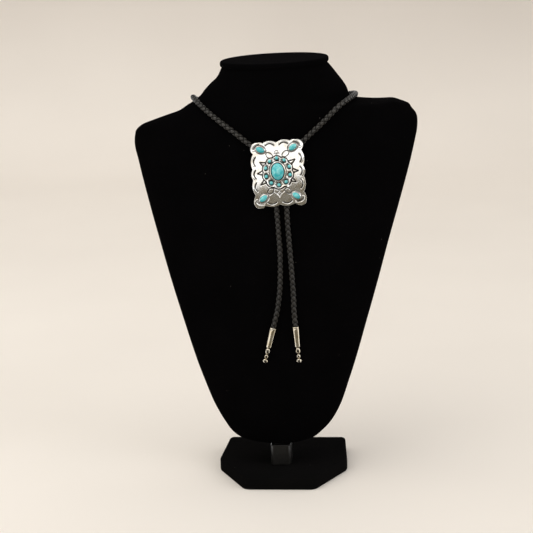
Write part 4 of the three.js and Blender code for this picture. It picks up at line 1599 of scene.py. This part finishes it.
    def add_bezel(
        self,
        sketch: MeshSketch,
        place: np.ndarray,
        size: tuple[float, float, float],
        section: Rows,
        count: int = 72,
    ) -> None:
        """Add one closed ring of silver round a stone.

        Args:
            sketch: The sketch that it joins.
            place: The stone's centre.
            size: The stone's width, height and turn in degrees.
            section: The ring's section, as distance from the stone, height and recess.
            count: How many points lie round the ring.
        """
        width, height, turn = size
        ovals = [oval(width + 2 * out, height + 2 * out, turn, count=count) for out, _, _ in section]
        levels = [(place + ring, high, tone) for ring, (_, high, tone) in zip(ovals, section)]
        sketch.add_levels(levels, closed=True)

    def build_bezels(self) -> bpy.types.Object:
        """Make the bezels of every stone."""
        sketch = MeshSketch()
        top = self.rosette_top
        section = [(out, top + up, tone) for out, up, tone in self.centre_bezel]
        self.add_bezel(sketch, self.centre(), (self.stone_width, self.stone_height, 0), section, count=120)
        section = [(out, top + up, tone) for out, up, tone in self.accent_bezel]
        for place in self.ring_places():
            self.add_bezel(sketch, place, (self.accent - 0.25, self.accent - 0.25, 0), section, count=36)
        crest = self.thickness + 0.85
        for stone in self.corners:
            place = self.corner_place(stone)
            base = float(self.face(place[None])[0]) - 0.5
            section = [(0.08, base, 1.0), (0.95, base, 1.0)]
            section += [(out, crest + up, tone) for out, up, tone in self.corner_bezel]
            self.add_bezel(sketch, place, (self.corner_length, self.corner_width, stone.turn), section)
        return self.piece("slide_bezels", sketch)

    def wire_granules(self, tree: Any, given: Any) -> Any:
        """Solder one silver ball on each point.

        Args:
            tree: The geometry tree.
            given: The tree's inputs.

        Returns:
            The balls' geometry.
        """
        ball = add_node(
            tree, "GeometryNodeMeshIcoSphere", {"Radius": given["Ball Radius"], "Subdivisions": 3}
        ).outputs[0]
        size = add_node(
            tree, "GeometryNodeInputNamedAttribute", {"Name": "size"}, data_type="FLOAT"
        ).outputs[0]
        return add_node(
            tree,
            "GeometryNodeInstanceOnPoints",
            {"Points": given["Geometry"], "Instance": ball, "Scale": size},
        ).outputs[0]

    def build_granules(self, radius: float = 0.72) -> bpy.types.Object:
        """Solder the silver balls between the small stones.

        Args:
            radius: The largest ball's radius.

        Returns:
            The balls as one piece.
        """
        reach = np.array([self.stone_width, self.stone_height]) / 2 + 2.1
        beads = self.centre() + polar(np.radians(np.linspace(196, 344, 19))) * reach
        outer = self.ring_places(half_step=True, inset=0.75)
        inner = self.ring_places(half_step=True, inset=2.1)
        spots = np.vstack([outer, inner, beads])
        sizes = np.repeat([1.0, 0.62, 0.5], [len(outer), len(inner), len(beads)])
        heights = self.rosette_top - 0.22 + radius * (sizes - 1) * 0.6
        placed = self.drawing.place(raised(spots, heights)) * MM
        guide = bpy.data.meshes.new("granule_spots")
        guide.from_pydata(placed.tolist(), [], [])
        mark(guide, "size", sizes)
        mesh = grow("granulation", guide, self.metal, {"Ball Radius": radius}, self.wire_granules)
        return settle(dress(mesh, "slide_granules", self.metal, sharp=80), Slot.SILVER)

    def build_clasp(self) -> bpy.types.Object:
        """Make the clasp behind the plate, its edges eased."""
        mesh = bpy.data.objects["slide_clasp"].data.copy()
        mesh.name = "slide_clasp_eased"
        work = bmesh.new()
        work.from_mesh(mesh)
        bmesh.ops.remove_doubles(work, verts=work.verts, dist=1e-6)
        bmesh.ops.dissolve_limit(work, angle_limit=math.radians(1), verts=work.verts, edges=work.edges)
        crisp = [e for e in work.edges if e.is_manifold and e.calc_face_angle() > math.radians(50)]
        bmesh.ops.bevel(work, geom=crisp, offset=0.0002, segments=2, profile=0.5, affect="EDGES")
        work.to_mesh(mesh)
        work.free()
        return settle(dress(mesh, "slide_clasp_eased", self.metal, sharp=45), Slot.SILVER, "slide_clasp")

    def build(self) -> None:
        """Make every silver piece of the slide."""
        self.build_plate()
        self.build_rosette()
        self.build_bezels()
        self.build_granules()
        self.build_clasp()


@dataclass
class SlideStones:
    """The slide's fifteen turquoise cabochons."""

    slide: SilverSlide
    finish: Turquoise = field(default_factory=lambda: Turquoise("polished_turquoise"))
    centre_rise: float = 3.6
    accent_rise: float = 1.3
    corner_rise: float = 2.0

    def cabochon(
        self, node: str, place: Sequence[float], size: Sequence[float], material: bpy.types.Material
    ) -> None:
        """Cut one domed stone with a flat back, its colour marked deeper towards its lower right as painted
        shade.

        Args:
            node: The solid that it replaces.
            place: The middle of its back in the slide's drawing.
            size: Its width, height, rise and turn in degrees.
            material: Its material.
        """
        width, height, rise, turn = size
        flat = oval(width, height, turn, count=72 if width > 6 else 40)
        rows = [(0.0, 0.0), (0.6, 0.0), (0.99, 0.0), (1.0, 0.04), (1.0, 0.3)]
        for step in np.linspace(0, math.pi / 2, 18)[1:]:
            rows.append((math.cos(step) ** 0.9, 0.3 + 0.7 * math.sin(step) ** 1.4))
        # Painted shade: the tone grows towards the lower right of each stone and towards its rim.
        painted_shade_slope = (0.35 * flat[:, 0] - flat[:, 1]) / (height / 2)
        levels = []
        for share, level in rows:
            tone = np.clip(0.25 + 0.55 * painted_shade_slope * share, 0, 0.8)
            levels.append((flat * share + place[:2], level * rise + place[2], tone))
        name = node.replace("stone", "cabochon")
        made = MeshSketch(levels).finish(name, material, self.slide.drawing.place, sharp=60)
        settle(made, Slot.TURQUOISE, node)

    def build(self) -> None:
        """Cut and set every stone."""
        slide = self.slide
        material = self.finish.material()
        size = (slide.stone_width, slide.stone_height, self.centre_rise, 0)
        self.cabochon("centre_stone", (*slide.centre(), slide.rosette_top + 0.25), size, material)
        size = (slide.accent - 0.25, slide.accent - 0.25, self.accent_rise, 0)
        for i, place in enumerate(slide.ring_places(), 1):
            self.cabochon(f"accent_stone_{i}", (*place, slide.rosette_top - 0.45), size, material)
        for stone in slide.corners:
            place = (*slide.corner_place(stone), slide.thickness + 0.25)
            size = (slide.corner_length, slide.corner_width, self.corner_rise, stone.turn)
            self.cabochon(stone.name, place, size, material)


@dataclass(frozen=True)
class BustRow:
    """One section of the bust, in shares of its height, half its width and its depth."""

    up: float
    left: float
    right: float
    front: float
    back: float
    square: float


@dataclass
class VelvetBust:
    """The necklace bust: a padded chest and neck under velvet, with a thin lip round the neck's top."""

    velvet: bpy.types.Material
    underside: float = 29.0
    height: float = 322.0
    shoulder_width: float = 236.0
    chest_depth: float = 80.0
    neck_width: float = 88.0
    neck_depth: float = 72.0
    neck_backward: float = 18.0
    neck_left: float = 1.0
    neck_tilt: float = 1.9
    neck_square: float = 2.1
    lip_overhang: float = 1.6
    lip_thickness: float = 4.8
    swell: float = 2.0
    swell_at: float = 97.0
    swell_reach: float = 7.5
    around: int = 144
    levels: int = 150
    rows: tuple[BustRow, ...] = (
        BustRow(0.0, 0.12, 0.1, -0.225, 0.02, 2.0),
        BustRow(0.004, 0.22, 0.17, -0.275, 0.07, 2.0),
        BustRow(0.012, 0.3, 0.24, -0.305, 0.11, 2.1),
        BustRow(0.029, 0.362, 0.3, -0.335, 0.15, 2.1),
        BustRow(0.055, 0.412, 0.366, -0.36, 0.19, 2.1),
        BustRow(0.083, 0.456, 0.413, -0.378, 0.22, 2.1),
        BustRow(0.11, 0.492, 0.447, -0.392, 0.245, 2.1),
        BustRow(0.164, 0.549, 0.497, -0.412, 0.29, 2.1),
        BustRow(0.217, 0.6, 0.544, -0.427, 0.325, 2.1),
        BustRow(0.327, 0.69, 0.631, -0.442, 0.385, 2.1),
        BustRow(0.434, 0.773, 0.714, -0.445, 0.435, 2.1),
        BustRow(0.541, 0.849, 0.793, -0.437, 0.478, 2.1),
        BustRow(0.647, 0.921, 0.875, -0.418, 0.508, 2.1),
        BustRow(0.753, 0.987, 0.953, -0.382, 0.53, 2.1),
        BustRow(0.806, 1.015, 0.986, -0.353, 0.54, 2.05),
        BustRow(0.832, 1.006, 1.0, -0.335, 0.545, 2.0),
        BustRow(0.848, 0.966, 1.003, -0.324, 0.55, 1.95),
        BustRow(0.86, 0.885, 1.002, -0.315, 0.555, 1.9),
        BustRow(0.872, 0.79, 0.992, -0.307, 0.56, 1.85),
        BustRow(0.885, 0.688, 0.964, -0.297, 0.568, 1.85),
        BustRow(0.898, 0.634, 0.935, -0.288, 0.576, 1.85),
        BustRow(0.909, 0.585, 0.6, -0.28, 0.583, 1.9),
        BustRow(0.916, 0.56, 0.535, -0.276, 0.587, 1.95),
        BustRow(0.922, 0.538, 0.521, -0.272, 0.593, 2.0),
        BustRow(0.937, 0.506, 0.507, -0.262, 0.605, 2.1),
        BustRow(0.953, 0.465, 0.48, -0.252, 0.622, 2.15),
        BustRow(0.969, 0.421, 0.442, -0.243, 0.638, 2.15),
    )

    def ring(
        self, up: float, left: float, right: float, front: float, back: float, square: float
    ) -> np.ndarray:
        """One section, anticlockwise seen from above, in millimetres.

        The neck's top tilts to the left, and the right shoulder's padding swells a little.

        Args:
            up: Its height.
            left: How far it reaches to the left.
            right: How far it reaches to the right.
            front: Where its front lies.
            back: Where its back lies.
            square: How square it is. An oval has 2.

        Returns:
            One row for each point.
        """
        across, along = polar(full_turn(self.around)).T
        x = np.sign(across) * np.abs(across) ** (2 / square) * np.where(across < 0, left, right)
        y = (front + back) / 2 + np.sign(along) * np.abs(along) ** (2 / square) * (back - front) / 2
        below = up - self.underside - self.height
        tilt = math.tan(math.radians(self.neck_tilt)) * float(ease(-16, 0, below))
        bump = self.swell * np.exp(-(((x - self.swell_at) / self.swell_reach) ** 2))
        return raised(np.stack([x, y], axis=1), up + x * tilt + bump * float(ease(-54, -32, below)))

    def build(self) -> bpy.types.Object:
        """Stretch the velvet over the form.

        Returns:
            The bust.
        """
        table = np.array([[r.up, r.left, r.right, r.front, r.back, r.square] for r in self.rows])
        half, depth = self.shoulder_width / 2, self.chest_depth
        bottom, top = self.underside, self.underside + self.height
        table = table * (self.height, half, half, depth, depth, 1) + (bottom, 0, 0, 0, 0, 0)
        middle, reach = self.neck_backward, self.neck_depth / 2
        front, back = middle - reach, middle + reach
        left, right = self.neck_width / 2 + self.neck_left, self.neck_width / 2 - self.neck_left
        table = np.vstack([table, (top, left, right, front, back, self.neck_square)])
        spans = ((0, 1, self.levels), (0.001, 0.06, 14), (0.83, 0.93, 40))
        shares = np.sort(np.concatenate([np.linspace(low, high, count) for low, high, count in spans]))
        fine = bottom + self.height * shares
        columns = [smooth_rows(table[:, 0], table[:, i], fine) for i in range(1, 6)]
        rings = [self.ring(bottom, 0.0, 0.0, -8.0, -8.0, 2.0)]
        rings += [self.ring(level, *(c[i] for c in columns)) for i, level in enumerate(fine)]
        lip, over = self.lip_thickness, self.lip_overhang
        edge = [(0.25, 0.5), (0.6, 1.15), (1.2, 1.5), (2.0, over), (3.4, over), (4.1, 1.35), (4.6, 0.75)]
        for rise, out in (*edge, (lip, -0.3), (lip, -4.0), (lip, -20.0)):
            sides = (left + out, right + out, front - out, back + out)
            rings.append(self.ring(top + rise, *sides, self.neck_square))
        rings.append(self.ring(top + lip, 0.0, 0.0, middle, middle, 2.0))
        sketch = MeshSketch()
        sketch.add_rings(np.array(rings))
        bust = sketch.finish("velvet_bust", self.velvet, sharp=60)
        return settle(bust, Slot.VELVET, "bust_body")


@dataclass
class BustStand:
    """The velvet covered base slab and the lacquered post on it."""

    velvet: bpy.types.Material
    lacquer: BlackLacquer = field(default_factory=lambda: BlackLacquer("black_post_lacquer"))
    width: float = 111.0
    back_width: float = 103.0
    depth: float = 109.0
    nose_width: float = 60.0
    nose_depth: float = 50.0
    base_right: float = 0.8
    thickness: float = 11.0
    corner: float = 5.0
    post_width: float = 17.0
    post_depth: float = 26.0
    post_front: float = 23.0
    post_cut: float = 2.0
    post_corner: float = 0.45
    post_edge: float = 0.35
    post_low: float = 11.3
    post_high: float = 28.7

    def rounded(self, corners: Rows, radius: float, steps: int) -> np.ndarray:
        """An outline with its corners rounded.

        Args:
            corners: The corners, anticlockwise.
            radius: How far from each corner its curve starts.
            steps: How many points make one corner.

        Returns:
            One row for each point.
        """
        points = np.array(corners, float)
        made = []
        for before, corner, after in zip(np.roll(points, 1, axis=0), points, np.roll(points, -1, axis=0)):
            ahead = unit(after - corner) * radius
            curve = bend(corner + unit(before - corner) * radius, corner, corner + ahead, count=steps)
            made += [curve, np.linspace(corner + ahead, after - ahead, 10)[1:-1]]
        return np.vstack(made)

    def slab(self, outline: np.ndarray, rows: Rows) -> MeshSketch:
        """Stack an outline at several insets and heights.

        Args:
            outline: The outline, anticlockwise.
            rows: Inset and height of each level.

        Returns:
            The sketch.
        """
        run = np.roll(outline, -1, axis=0) - np.roll(outline, 1, axis=0)
        inward = run[:, ::-1] * (-1, 1) / np.linalg.norm(run, axis=1)[:, None]
        middle = outline.mean(axis=0)
        levels = [(outline * 0 + middle, rows[0][1], 0.0)]
        levels += [(outline + inward * inset, height, 0.0) for inset, height in rows]
        inner = levels[-1][0] - middle
        levels += [(middle + inner * share, rows[-1][1], 0.0) for share in (0.75, 0.45, 0.0)]
        return MeshSketch(levels)

    def build_base(self) -> None:
        """Make the base slab with its two cut front corners."""
        half, high = self.depth / 2, self.thickness
        turn = self.nose_depth - half
        right = [(self.nose_width / 2, -half), (self.width / 2, turn), (self.back_width / 2, half)]
        corners = [(-self.nose_width / 2, -half), *right, *self.mirrored(right[1:])]
        outline = self.rounded(corners, self.corner, steps=9)
        rows = [(1.2, 0.0), (0.5, 0.25), (0.12, 0.8), (0.0, 1.6), (0.0, high / 2), (0.0, high - 2.2)]
        rows += [(0.16, high - 1.3), (0.62, high - 0.55), (1.3, high - 0.15), (2.4, high)]
        base = self.slab(outline + (self.base_right, 0.0), rows).finish("velvet_base", self.velvet, sharp=60)
        settle(base, Slot.VELVET, "bust_base")

    def build_post(self) -> None:
        """Make the post, its four upright edges cut."""
        x, cut = self.post_width / 2, self.post_cut
        front, back = -self.post_front, self.post_depth - self.post_front
        right = [(x - cut, front), (x, front + cut), (x, back - cut), (x - cut, back)]
        corners = [(cut - x, front), *right, *self.mirrored(right[1:])]
        outline = self.rounded(corners, self.post_corner, steps=5)
        low, top, edge = self.post_low, self.post_high, self.post_edge
        post = self.slab(outline, [(edge, low), (0.0, low + edge), (0.0, top - edge), (edge, top)])
        made = post.finish("lacquered_post", self.lacquer.material(), sharp=35)
        settle(made, Slot.POST, "bust_post")

    def mirrored(self, corners: Rows) -> list[tuple[float, float]]:
        """The same corners on the left, in turn from the last to the first."""
        return [(-x, y) for x, y in reversed(corners)]

    def build(self) -> None:
        """Make the base and the post."""
        self.build_base()
        self.build_post()


def main() -> None:
    """Build the bolo tie, the bust and the studio in order."""
    logging.basicConfig(level=logging.INFO, format="%(name)s: %(message)s")
    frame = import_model()
    LOG.info("%d solids in the frame", len(frame["nodes"]))
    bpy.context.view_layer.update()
    Viewpoint().build()
    cord = BoloCord()
    metal = SterlingSilver("oxidised_sterling_silver").material()
    tips = SterlingSilver("turned_silver", bright="#e0d7c5", warm="#cbbc9f", roughness=0.16).material()
    line = cord.line()
    CordTip("tip_left_turned", "tip_left", tips).build(line[0], line[1])
    CordTip("tip_right_turned", "tip_right", tips).build(line[-1], line[-2])
    cord.build()
    LOG.info("cord length %.1f mm", cord.length())
    slide = SilverSlide(metal)
    slide.build()
    SlideStones(slide).build()
    velvet = DisplayVelvet("black_display_velvet").material()
    VelvetBust(velvet).build()
    # Painted light: the base takes a lighter copy of the bust's velvet, so its shaded top reads brighter.
    BustStand(DisplayVelvet("base_velvet_painted_lighter", pile="#0a0a0a", brushed="#0f0e0e").material()).build()
    Studio().build()


if __name__ == "__main__":
    main()
